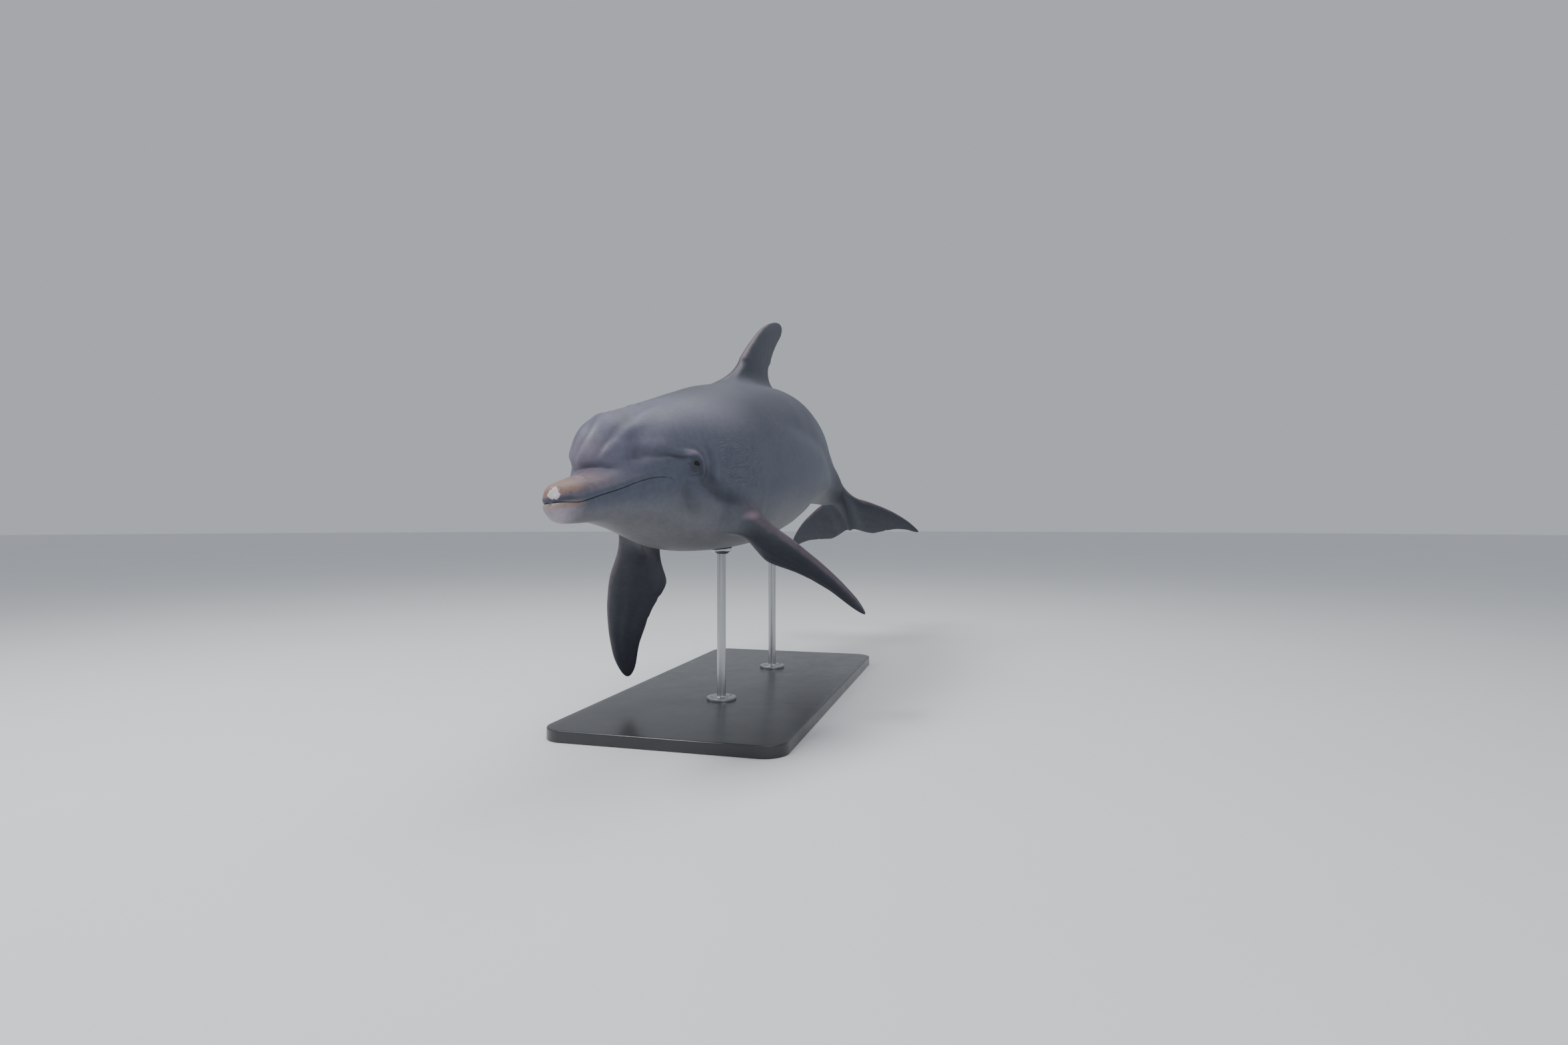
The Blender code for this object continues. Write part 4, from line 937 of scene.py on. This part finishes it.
class Wire:
    def __init__(self, paint, socket):
        self.paint, self.socket = paint, socket

    def maths(self, operation, *values):
        return self.paint.node("ShaderNodeMath", {"operation": operation}, dict(enumerate(values)))

    def __add__(self, other): return self.maths("ADD", self, other)
    def __radd__(self, other): return self.maths("ADD", other, self)
    def __sub__(self, other): return self.maths("SUBTRACT", self, other)
    def __rsub__(self, other): return self.maths("SUBTRACT", other, self)
    def __mul__(self, other): return self.maths("MULTIPLY", self, other)
    def __rmul__(self, other): return self.maths("MULTIPLY", other, self)
    def __truediv__(self, other): return self.maths("DIVIDE", self, other)
    def __rtruediv__(self, other): return self.maths("DIVIDE", other, self)
    def __neg__(self): return self.maths("MULTIPLY", self, -1.0)
    def size(self): return self.maths("ABSOLUTE", self)
    def sine(self): return self.maths("SINE", self)
    def root(self): return self.maths("SQRT", self)
    def smooth(self, low, high):
        return self.paint.node("ShaderNodeMapRange", {"interpolation_type": "SMOOTHSTEP"},
                               {"Value": self, "From Min": low, "From Max": high})
    def fade(self, low, high): return 1 - self.smooth(low, high)
    def between(self, start, full, until, end):
        return self.smooth(start, full) * self.fade(until, end)
    def bell(self, at, width):
        away = (self - at) / width
        return self.maths("EXPONENT", -(away * away))


class Paint:
    def __init__(self, name):
        self.material = bpy.data.materials.new(name)
        self.material.use_nodes = True
        self.tree = self.material.node_tree
        self.shader = self.tree.nodes["Principled BSDF"]

    def node(self, kind, settings=None, sockets=None, output=0):
        made = self.tree.nodes.new(kind)
        for key, value in (settings or {}).items():
            setattr(made, key, value)
        for key, value in (sockets or {}).items():
            self.join(made.inputs[key], value)
        return Wire(self, made.outputs[output])

    def join(self, socket, value):
        if isinstance(value, Wire):
            self.tree.links.new(value.socket, socket)
        else:
            socket.default_value = value

    def field(self, name, output="Fac"):
        return self.node("ShaderNodeAttribute", {"attribute_name": name}, output=output)

    def parts(self, vector):
        return [self.node("ShaderNodeSeparateXYZ", sockets={0: vector}, output=k) for k in range(3)]

    def place(self):
        return self.node("ShaderNodeTexCoord", output="Object")

    def noise(self, scale, detail=2.0, roughness=0.5, at=None, stretch=None):
        at = at or self.place()
        if stretch:
            at = self.node("ShaderNodeMapping", sockets={"Vector": at, "Scale": stretch})
        made = {"Vector": at, "Scale": scale, "Detail": detail, "Roughness": roughness}
        return self.node("ShaderNodeTexNoise", {"noise_dimensions": "3D"}, made) - 0.5    # about zero

    def distance(self, vector, spot):
        return self.node("ShaderNodeVectorMath", {"operation": "DISTANCE"}, {0: vector, 1: spot},
                         output="Value")

    def mix(self, first, second, share):
        return self.node("ShaderNodeMix", {"data_type": "RGBA"}, {0: share, 6: first, 7: second}, output=2)

    def bump(self, height, distance, strength=1.0, under=None):
        sockets = {"Height": height, "Distance": distance, "Strength": strength}
        if under:
            sockets["Normal"] = under
        return self.node("ShaderNodeBump", sockets=sockets)

    def finish(self, colour, roughness, normal=None, metallic=0.0, coat=0.0, coatRoughness=0.1, shine=0.5):
        for key, value in (("Base Color", colour), ("Roughness", roughness), ("Metallic", metallic)):
            self.join(self.shader.inputs[key], value)
        self.shader.inputs["Coat Weight"].default_value = coat
        self.shader.inputs["Coat Roughness"].default_value = coatRoughness
        self.shader.inputs["Specular IOR Level"].default_value = shine
        if normal:
            self.join(self.shader.inputs["Normal"], normal)
        return self.material


# The skin's colours and markings, with painted shade in its creases and hollows and painted highlights on its
# ridges and edges
skinTones = {
    "cape": tone(58, 62, 77), "flank": tone(77, 82, 97), "belly": tone(106, 106, 109),
    "melon": tone(83, 84, 102), "paintedHighlight": tone(107, 106, 121), "stripe": tone(39, 44, 60),
    "fin": tone(39, 43, 55), "finEdge": tone(102, 86, 97), "rootHighlight": tone(150, 126, 142),
    "beak": tone(102, 86, 95), "pink": tone(136, 112, 124), "tan": tone(140, 114, 101),
    "brown": tone(116, 80, 60),
    "scar": tone(214, 204, 212), "jawTip": tone(157, 146, 158), "lipTan": tone(150, 124, 106),
    "lid": tone(134, 118, 138), "socket": tone(40, 44, 60), "dark": tone(22, 23, 30),
    "speck": tone(46, 38, 40),
}


def skinMaterial():
    paint = Paint("dolphin_skin")
    tones = skinTones
    straight = paint.field("straight", "Vector")
    s, y, z = paint.parts(straight)
    across = y.size()
    lift, share, edge = paint.field("lift"), paint.field("finShare"), paint.field("finEdge")
    kind, crevice, lids = paint.field("finKind"), paint.field("crevice"), paint.field("lids")
    broad = paint.noise(5.0, 3.0, 0.55, straight)
    cloud = paint.noise(22.0, 4.0, 0.6, straight)
    mottle = paint.noise(75.0, 3.0, 0.6, straight)
    grain = paint.noise(240.0, 3.0, 0.65, straight)
    pores = paint.noise(900.0, 2.0, 0.5, straight)
    slow = paint.noise(13.0, 0.0, 0.5, straight)

    level = lift + broad * 0.5 + cloud * 0.14
    colour = paint.mix(tones["belly"], tones["flank"], level.smooth(-1.0, -0.20))

    def coat(name, share):
        nonlocal colour
        colour = paint.mix(colour, tones[name], share)

    coat("cape", level.smooth(0.10, 0.80) * s.smooth(0.34, 0.66))
    coat("melon", level.smooth(0.0, 0.6) * s.fade(0.30, 0.56))
    # painted highlight high on the shoulder and on the front of the melon
    paintedHighlight = z.bell(0.145, 0.045) * s.bell(0.54, 0.12)
    coat("paintedHighlight", paintedHighlight * 0.6 + z.bell(0.10, 0.03) * s.bell(0.165, 0.035) * 0.35)

    # the eye stripe, part marking and part painted shade
    stripe = (paint.field("stripe") + cloud * 0.5 + broad * 0.3).smooth(0.05, 1.20)
    coat("stripe", stripe * 0.88)
    # painted shade on the cheek below the eye
    cheek = s.bell(0.345, 0.060) * z.bell(-0.035, 0.045) * across.smooth(0.05, 0.09)
    coat("stripe", cheek * 0.35)
    # painted shade in the brow hollow under the melon's overhang
    hollow = s.bell(0.308, 0.036) * (z + s * 0.10).bell(0.0830, 0.0080) * across.smooth(0.05, 0.09)
    coat("stripe", hollow * 0.65)

    beak = (s + cloud * 0.05).fade(0.10, 0.185) * (z - s * 0.10).smooth(-0.012, 0.012)
    coat("beak", beak * 0.85)
    pink = beak * (mottle * 1.2 + cloud * 1.5 + 0.5 - (s - 0.07) * 5.0).smooth(0.30, 0.95)
    coat("pink", pink * 0.6)
    tanArea = ((s + cloud * 0.06 + mottle * 0.04 - z * 0.5).fade(0.030, 0.078)
               * (z + cloud * 0.02 + mottle * 0.02).smooth(-0.002, 0.016))
    coat("tan", tanArea * 0.85)
    rust = tanArea * (mottle + cloud * 0.7).smooth(-0.06, 0.16)
    coat("brown", rust * 0.6)
    under = (s + cloud * 0.04).fade(0.03, 0.06) * z.bell(-0.0055, 0.0060)
    coat("cape", under * 0.7)
    jawTip = (s + cloud * 0.05).fade(0.008, 0.064) * z.fade(-0.016, -0.006)
    coat("jawTip", jawTip * 0.85)
    lipTan = (s + cloud * 0.05).fade(0.03, 0.075) * z.bell(-0.0165, 0.0050)
    coat("lipTan", lipTan * 0.7)

    around = z.maths("ARCTAN2", z - 0.0070, y - 0.0085)
    lobes, small = (around * 3.0 + 0.6).sine(), (around * 7.0).sine()
    fromScar = paint.distance(straight, (0.0100, 0.0085, 0.0070))
    ragged = paint.noise(150.0, 3.0, 0.7, straight)
    scar = (fromScar + lobes * 0.0018 + small * 0.0010 + ragged * 0.012).fade(0.0098, 0.0128)
    coat("scar", scar * z.smooth(-0.0092, -0.0072) * (0.88 + mottle * 0.6))
    coat("speck", paint.distance(straight, (0.0391, 0.0234, 0.0157)).fade(0.0008, 0.0020) * 0.9)

    side = across.smooth(0.08, 0.10)
    fromEye = (s - eye["at"][0], z - eye["at"][1])
    # pinkish lid skin, lightened by a painted highlight on the swellings above and behind the eye
    lidPad = fromEye[0].bell(-0.006, 0.021) * fromEye[1].bell(0.0265, 0.0055) * side
    lidBack = fromEye[0].bell(0.0205, 0.0035) * fromEye[1].bell(0.004, 0.020) * side
    coat("lid", lidPad * 0.65 + lidBack * 0.28)
    # painted shade in the eye socket and in the pouch under the eye
    ringed = fromEye[0] * fromEye[0] + fromEye[1] * fromEye[1] * 1.5
    socket = (ringed + mottle * 0.0003).fade(0.00008, 0.00085) * side * kind.fade(0.2, 0.6)
    below = fromEye[0].bell(-0.012, 0.024) * fromEye[1].bell(-0.014, 0.014) * side
    coat("socket", socket * 0.72)
    coat("socket", below * 0.45)

    markSide = y - 0.022
    markBack = s - 0.0955 + markSide * 0.7
    mark = markBack * markBack * 60000.0 + markSide * markSide * 9000.0
    coat("speck", (mark + mottle * 1.4).fade(0.2, 1.0) * z.smooth(0.0, 0.01) * 0.4)

    flipperOnly = kind.bell(2.0, 0.3)
    grown = share * (1 + flipperOnly * 0.6) + cloud * 0.10 * share.smooth(0.0, 0.06)
    inFin = grown.smooth(0.01, 0.25) * kind.smooth(0.3, 0.9)
    dorsalFin = kind.fade(1.2, 1.8)
    coat("fin", inFin * (1 - dorsalFin * 0.55) * (0.90 + cloud * 0.3))
    tailEnd = (s + cloud * 0.10 + z * 0.4).smooth(1.70, 2.16) * (1 - inFin)
    coat("fin", tailEnd * 0.9)
    # painted highlight along the fins' leading edges
    leading = (edge * -1.0 + cloud * 0.25).smooth(0.84, 1.02) * share.smooth(0.03, 0.12)
    coat("finEdge", leading * kind.smooth(0.3, 0.9) * 0.6)
    # painted highlight on the flipper's root at its leading edge
    squashed = paint.node("ShaderNodeCombineXYZ", sockets={0: s, 1: across * 0.4, 2: z * 1.2})
    fromRoot = paint.distance(squashed, (0.531, 0.0780, -0.1240))
    rootHighlight = (fromRoot + cloud * 0.016 + mottle * 0.010).fade(0.002, 0.019)
    coat("rootHighlight", rootHighlight * 0.5)
    # painted shade in the creases, slits and pits
    coat("dark", crevice * 0.62)
    # painted shade round the edge of each eye opening
    coat("dark", lids * 0.55)

    # mottled tone, with painted shading from the relief: lighter on ridges, darker in valleys
    shade = 1.0 + cloud * 0.40 + mottle * 0.46 + grain * 0.36 + broad * 0.20 + paint.field("relief") * 0.32
    colour = paint.node("ShaderNodeMix", {"data_type": "RGBA", "blend_type": "MULTIPLY"},
                        {0: 1.0, 6: colour, 7: paint.node("ShaderNodeCombineColor", sockets={
                            0: shade, 1: shade, 2: shade})}, output=2)

    wrinkleArea = (s.between(0.42, 0.47, 0.58, 0.66) * z.between(-0.06, -0.02, 0.065, 0.10)
                   * across.smooth(0.08, 0.10))
    wander = paint.noise(34.0, 0.0, 0.5, straight)
    bands = (z - s * 0.20) * (1 / 0.0066) + slow * 3.6 + wander * 2.2
    wrinkle = (bands * (2 * math.pi)).sine()
    broken = (cloud + mottle * 0.5).smooth(-0.12, 0.08)
    normal = paint.bump(wrinkle * wrinkleArea * broken, 0.00060)
    normal = paint.bump(mottle * 0.9 + grain * 0.5 + pores * 0.2, 0.0006, 0.6, under=normal)
    roughness = 0.56 + cloud * 0.16 + grain * 0.14
    return paint.finish(colour, roughness, normal, coat=0.06, coatRoughness=0.3)


# The eyes: a finer ball with a slotted pupil and a brown iris
def ballPoints():              # rings from pole to pole, in the same order each time
    radius, count = eye["radius"], eye["rings"]
    rings = [circle((0, 0), radius * math.sin(math.pi * k / count), -radius * math.cos(math.pi * k / count),
                    eye["segments"]) for k in range(1, count)]
    points, faces = loft(rings)
    for cap, height in zip((faces.pop(-2), faces.pop()), (-radius, radius)):
        faces += [(len(points), start, end) for start, end in zip(cap, cap[1:] + cap[:1])]
        points.append((0.0, 0.0, height))
    points = np.array(points)
    bulge, width = eye["cornea"]                    # the cornea stands a little proud of the ball
    points[:, 2] += bulge * bell(np.hypot(points[:, 0], points[:, 1]), 0, width) * (points[:, 2] > 0)
    return points, faces


def buildEye(side):
    name = "eyeball_left" if side > 0 else "eyeball_right"
    node = "eye_left" if side > 0 else "eye_right"
    centre, normal = eyes[side]
    ends = place(np.array([centre, centre + normal * 0.01]))
    axis = Vector(ends[1] - ends[0]).normalized()
    aim = Vector((0, 0, 1)).rotation_difference(axis).to_matrix()
    points, faces = ballPoints()
    mesh = bpy.data.meshes.new(name)
    mesh.from_pydata(points, [], faces)
    addField(mesh, "ball", points, "FLOAT_VECTOR", "vector")
    mesh.transform(Matrix.Translation(Vector(ends[0])) @ aim.to_4x4())
    mesh.shade_smooth()
    obj = linked(name, mesh)
    obj.data.materials.append(eyeMaterial())
    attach(obj, "root")
    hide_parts(node)


def eyeMaterial():
    made = bpy.data.materials.get("dolphin_eye")
    if made:
        return made
    paint = Paint("dolphin_eye")
    x, y, _ = paint.parts(paint.field("ball", "Vector"))
    r = (x * x + y * y).root()
    streaks = paint.noise(900.0, 3.0, 0.7)
    slot = (x * x * 0.45 + y * y).root()
    colour = paint.mix(tone(29, 23, 23), tone(17, 15, 18), (r + streaks * 0.003).smooth(0.0035, 0.0065))
    colour = paint.mix(colour, tone(13, 13, 17), r.smooth(0.0065, 0.0085))
    colour = paint.mix(tone(6, 6, 9), colour, slot.smooth(0.0022, 0.0028))
    return paint.finish(colour, 0.07 + streaks * 0.03, shine=0.35)


# The stand
stand = {
    "corner": 0.06, "edge": 0.004, "cornerSteps": 14, "edgeSteps": 5,
    "rodRadius": 0.0125, "sides": 64, "flangeOuter": 0.042,
    "cupOuter": 0.030, "pad": 0.0022, "gap": 0.0004, "neck": 0.006, "bevel": 0.0018, "collar": 0.004,
    "screws": 4, "screwCircle": 0.031, "screwRadius": 0.0042, "screwSides": 24, "socket": 0.46,
}


def meshObject(name, points, faces, material, slot, *nodes):
    bm = bmesh.new()
    verts = [bm.verts.new(p) for p in points]
    for face in faces:
        bm.faces.new([verts[k] for k in face])
    bmesh.ops.recalc_face_normals(bm, faces=bm.faces)
    mesh = bpy.data.meshes.new(name)
    bm.to_mesh(mesh)
    bm.free()
    mesh.shade_smooth()
    mesh.set_sharp_from_angle(angle=math.radians(30))
    obj = linked(name, mesh)
    obj.data.materials.append(material)
    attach(obj, "root")
    if nodes:
        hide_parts(*nodes)
    return obj


def loft(rings, closed=False):              # rings of equal length into one closed skin
    count = len(rings[0])
    rows = [range(start, start + count) for start in range(0, len(rings) * count, count)]
    faces = []
    for far, near in zip(rows, rows[1:] + rows[:1] if closed else rows[1:]):
        faces += bridge(near, far)
    if not closed:
        faces += [tuple(rows[0])[::-1], tuple(rows[-1])]
    return [p for ring in rings for p in ring], faces


def roundedOutline(halfX, halfY, radius, steps):
    corners = ((1, 1, 0), (-1, 1, 90), (-1, -1, 180), (1, -1, 270))
    outline = []
    for signX, signY, start in corners:
        for k in range(steps + 1):
            angle = math.radians(start + 90 * k / steps)
            outline.append((signX * (halfX - radius) + radius * math.cos(angle),
                            signY * (halfY - radius) + radius * math.sin(angle)))
    return outline


def buildBase(material):
    low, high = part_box("stand_base")
    middle = (low + high) / 2
    half = (high - low) / 2
    rings = []
    edge, steps = stand["edge"], stand["edgeSteps"]
    heights = [(0.001, low.z), (0.0, low.z + 0.001)]
    for k in range(steps + 1):
        angle = math.pi / 2 * k / steps
        heights.append((edge * (1 - math.cos(angle)), high.z - edge + edge * math.sin(angle)))
    for inset, z in heights:
        outline = roundedOutline(half.x - inset, half.y - inset, stand["corner"] - inset,
                                 stand["cornerSteps"])
        rings.append([(middle.x + x, middle.y + y, z) for x, y in outline])
    meshObject("stand_base_plate", *loft(rings), material, "stand_base", "stand_base")


def circle(centre, radius, height, sides):
    return [(centre[0] + radius * math.cos(2 * math.pi * k / sides),
             centre[1] + radius * math.sin(2 * math.pi * k / sides),
             height(k) if callable(height) else height) for k in range(sides)]


def buildSupport(end, skinTree, steel, rubber):
    low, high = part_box("stand_rod_" + end)
    centre = ((low.x + high.x) / 2, (low.y + high.y) / 2)
    sides, gap = stand["sides"], stand["gap"]

    def belly(radius):         # height of the skin over each point of a circle, by looking up at it
        return [skinTree.ray_cast(Vector((x, y, low.z + 0.05)), Vector((0, 0, 1)))[0].z
                for x, y, _ in circle(centre, radius, 0, sides)]

    def turned(name, material, slot, rows, *nodes, closed=True):
        rings = [circle(centre, radius, height, sides) for radius, height in rows]
        meshObject(name, *loft(rings, closed=closed), material, slot, *nodes)

    rod = stand["rodRadius"]
    inner, outer, pad, bevel = rod + gap, stand["cupOuter"], stand["pad"], stand["bevel"]
    neck, rim = inner + stand["neck"], outer - 0.0012
    under, atInner, atOuter, atRim = belly(rod), belly(inner), belly(outer), belly(rim)

    def below(heights, drop):  # a height for each point, so much under the skin
        return lambda k: heights[k] - drop

    turned("stand_rod_%s_turned" % end, steel, "stand_steel", (
        (rod - 0.0008, low.z), (rod, low.z + 0.0008), (rod, below(under, gap))), "stand_rod_" + end,
        closed=False)

    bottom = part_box("stand_cup_" + end)[0].z
    start = bottom + 0.003
    side = []
    for k in range(1, 6):      # the cup's side opens in a quarter round
        t = k / 5 * math.pi / 2
        side.append((neck + (outer - neck) * math.sin(t),
                     lambda j, t=t: start + (atOuter[j] - gap - pad - 0.002 - start) * (1 - math.cos(t))))
    turned("stand_cup_%s_turned" % end, steel, "stand_steel", (
        (inner, bottom), (neck, bottom), (neck + 0.0008, bottom + 0.001), *side,
        (outer, below(atOuter, gap + pad)), (inner, below(atInner, gap + pad))), "stand_cup_" + end)
    turned("stand_pad_" + end, rubber, "stand_base", (
        (inner, below(atInner, gap + pad)), (outer - 0.0004, below(atOuter, gap + pad)),
        (outer, below(atOuter, gap + pad / 2)), (rim, below(atRim, gap)), (inner, below(atInner, gap))))

    low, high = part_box("stand_flange_" + end)
    outer, face = stand["flangeOuter"], high.z - stand["collar"]
    quarter = [math.pi / 2 * k / 4 for k in range(5)]
    turned("stand_flange_%s_turned" % end, steel, "stand_steel", (
        (inner, low.z), (outer - 0.0004, low.z), (outer, low.z + 0.0004),
        *((outer - bevel * (1 - math.cos(a)), face - bevel + bevel * math.sin(a)) for a in quarter),
        (inner + 0.009, face), (inner + 0.0075, high.z - 0.0025), (inner + 0.0070, high.z - 0.0006),
        (inner + 0.0064, high.z), (inner, high.z)), "stand_flange_" + end)
    buildScrews(end, centre, face, steel)


def screwHead():               # a button head with a six-sided socket
    radius, sides = stand["screwRadius"], stand["screwSides"]
    rings = [circle((0, 0), radius * share, height, sides)
             for share, height in ((1, 0.0), (1, 0.0006), (0.86, 0.0017), (0.60, 0.0023))]
    for height in (0.0023, 0.0008):
        ring = []
        for k in range(sides):
            angle = 2 * math.pi * k / sides
            flat = math.cos(math.pi / 6) / math.cos(angle % (math.pi / 3) - math.pi / 6)
            reach = radius * stand["socket"] * flat
            ring.append((reach * math.cos(angle), reach * math.sin(angle), height))
        rings.append(ring)
    return loft(rings)


def buildScrews(end, centre, height, steel):
    points, faces = screwHead()
    mesh = bpy.data.meshes.new("screw_head")
    mesh.from_pydata(points, [], faces)
    screw = linked("screw_head", mesh)
    tree = bpy.data.node_groups.new("screws_on_a_circle", "GeometryNodeTree")
    kinds = {"Count": "Int", "Radius": "Float", "Screw": "Object", "Material": "Material"}
    wanted = {name: tree.interface.new_socket(name=name, in_out="INPUT", socket_type="NodeSocket" + kind)
              for name, kind in kinds.items()}
    tree.interface.new_socket(name="Geometry", in_out="OUTPUT", socket_type="NodeSocketGeometry")
    made = {kind: tree.nodes.new(kind) for kind in (
        "NodeGroupInput", "GeometryNodeMeshCircle", "GeometryNodeObjectInfo", "GeometryNodeInstanceOnPoints",
        "GeometryNodeRealizeInstances", "GeometryNodeSetMaterial", "NodeGroupOutput")}
    entry, ring, info, copies, real, coat, leave = made.values()
    for source, given, target, taken in (
            (entry, "Count", ring, "Vertices"), (entry, "Radius", ring, "Radius"),
            (entry, "Screw", info, "Object"), (ring, "Mesh", copies, "Points"),
            (info, "Geometry", copies, "Instance"), (copies, "Instances", real, "Geometry"),
            (real, "Geometry", coat, "Geometry"), (entry, "Material", coat, "Material"),
            (coat, "Geometry", leave, "Geometry")):
        tree.links.new(source.outputs[given], target.inputs[taken])
    carrier = linked("carrier", bpy.data.meshes.new("carrier"))
    step = carrier.modifiers.new("screws", "NODES")
    step.node_group = tree
    values = {"Count": stand["screws"], "Radius": stand["screwCircle"], "Screw": screw, "Material": steel}
    for key, value in values.items():
        step[wanted[key].identifier] = value
    graph = bpy.context.evaluated_depsgraph_get()
    mesh = bpy.data.meshes.new_from_object(carrier.evaluated_get(graph))
    bpy.data.objects.remove(carrier)
    bpy.data.objects.remove(screw)
    mesh.transform(Matrix.Translation((*centre, height)) @ Matrix.Rotation(math.pi / 4, 4, "Z"))
    mesh.shade_smooth()
    mesh.set_sharp_from_angle(angle=math.radians(30))
    mesh.name = "stand_screws_" + end
    obj = linked(mesh.name, mesh)
    if not obj.data.materials:
        obj.data.materials.append(steel)
    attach(obj, "root")


def steelMaterial():
    paint = Paint("brushed_steel")
    lines = paint.noise(60.0, 3.0, 0.6, stretch=(1.0, 1.0, 40.0))
    smudge = paint.noise(9.0, 3.0, 0.6)
    colour = paint.mix(tone(168, 170, 173), tone(190, 192, 194), 0.5 + lines)
    return paint.finish(colour, 0.30 + lines * 0.14 + smudge * 0.14, paint.bump(lines, 0.0001, 0.4),
                        metallic=1.0)


def rubberMaterial():
    paint = Paint("black_rubber")
    grain = paint.noise(900.0, 3.0, 0.6)
    return paint.finish(paint.mix(tone(28, 28, 30), tone(40, 40, 42), 0.5 + grain), 0.78 + grain * 0.1,
                        paint.bump(grain, 0.0002, 0.6))


def lacquerMaterial():
    paint = Paint("satin_black_lacquer")
    peel = paint.noise(260.0, 2.0, 0.5)
    dust = paint.noise(14.0, 4.0, 0.6)
    colour = paint.mix(tone(38, 39, 42), tone(52, 53, 56), 0.5 + dust)
    return paint.finish(colour, 0.34 + dust * 0.16, paint.bump(peel, 0.0002, 0.25), coat=0.25,
                        coatRoughness=0.2)


# Floor, light and camera
studio = {
    "floor": tone(222, 224, 227), "radius": 45.0, "sides": 96,
    "lens": 18.22, "yaw": 0.2617, "fromEye": (0.6550, -1.6546, -0.1289),
    # name, place from the part's middle and height, size, power, colour
    "lamps": (("key", (-1.5, -2.2, 3.6), (1.2, 1.2), 120, (1.0, 0.99, 0.97)),
              ("overhead", (0.2, 0.6, 4.2), (2.4, 2.4), 70, (1.0, 0.99, 0.97)),
              ("front", (2.6, -3.6, 2.2), (2.4, 2.0), 22, (0.97, 0.98, 1.0)),
              ("side", (-3.4, -1.6, 1.8), (1.6, 2.4), 8, (1.0, 0.98, 0.96))),
    "sky": (0.82, 0.86, 0.92, 1), "skyStrength": 0.55,
}


def buildFloor():
    points = circle((0, 0), studio["radius"], 0.0, studio["sides"])
    mesh = bpy.data.meshes.new("floor")
    mesh.from_pydata(points, [], [tuple(range(len(points)))])
    obj = linked("floor", mesh)
    paint = Paint("floor")
    cloud = paint.noise(1.2, 3.0, 0.5)
    colour = paint.mix(studio["floor"], tone(229, 231, 233), 0.5 + cloud)
    obj.data.materials.append(paint.finish(colour, 0.75))


def addLight(name, at, target, size, power, colour):
    lamp = bpy.data.lights.new(name, "AREA")
    lamp.shape = "RECTANGLE"
    lamp.size, lamp.size_y = size
    lamp.energy = power
    lamp.color = colour
    obj = linked(name, lamp)
    obj.location = at
    obj.rotation_euler = (Vector(target) - Vector(at)).to_track_quat("-Z", "Y").to_euler()


def buildStudio():
    buildFloor()
    middle = tuple((cadLow + cadHigh) / 2)
    for name, (x, y, z), size, power, colour in studio["lamps"]:
        addLight(name, (middle[0] + x, middle[1] + y, z), middle, size, power, colour)
    world = bpy.data.worlds.new("studio")
    world.use_nodes = True
    sky = world.node_tree.nodes["Background"].inputs
    sky["Color"].default_value = studio["sky"]
    sky["Strength"].default_value = studio["skyStrength"]
    bpy.context.scene.world = world
    camera = bpy.data.cameras.new("camera")
    camera.lens = studio["lens"]
    camera.sensor_width = 36
    camera.clip_end = 60
    obj = linked("camera", camera)
    obj.location = (eyeLow + eyeHigh) / 2 + Vector(studio["fromEye"])
    obj.rotation_euler = (math.pi / 2, 0, studio["yaw"])
    bpy.context.scene.camera = obj
    print("camera at", [round(v, 4) for v in obj.location])


buildStudio()
skinObject = buildSkin()
skinObject.data.materials.append(skinMaterial())
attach(skinObject, "root")
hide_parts("head", "melon", "upper_jaw", "lower_jaw", "blowhole", "chest", "abdomen",
            "tail_stock", "dorsal_fin", "flipper_left", "flipper_right", "fluke_left", "fluke_right")
skinObject.data.calc_loop_triangles()
print("skin:", len(skinObject.data.loop_triangles), "triangles")
for side in (1, -1):
    buildEye(side)
print("eyes done")

steel, rubber, lacquer = steelMaterial(), rubberMaterial(), lacquerMaterial()
buildBase(lacquer)
skinTree = BVHTree.FromObject(skinObject, bpy.context.evaluated_depsgraph_get())
for end in ("front", "rear"):
    buildSupport(end, skinTree, steel, rubber)
print("stand done")
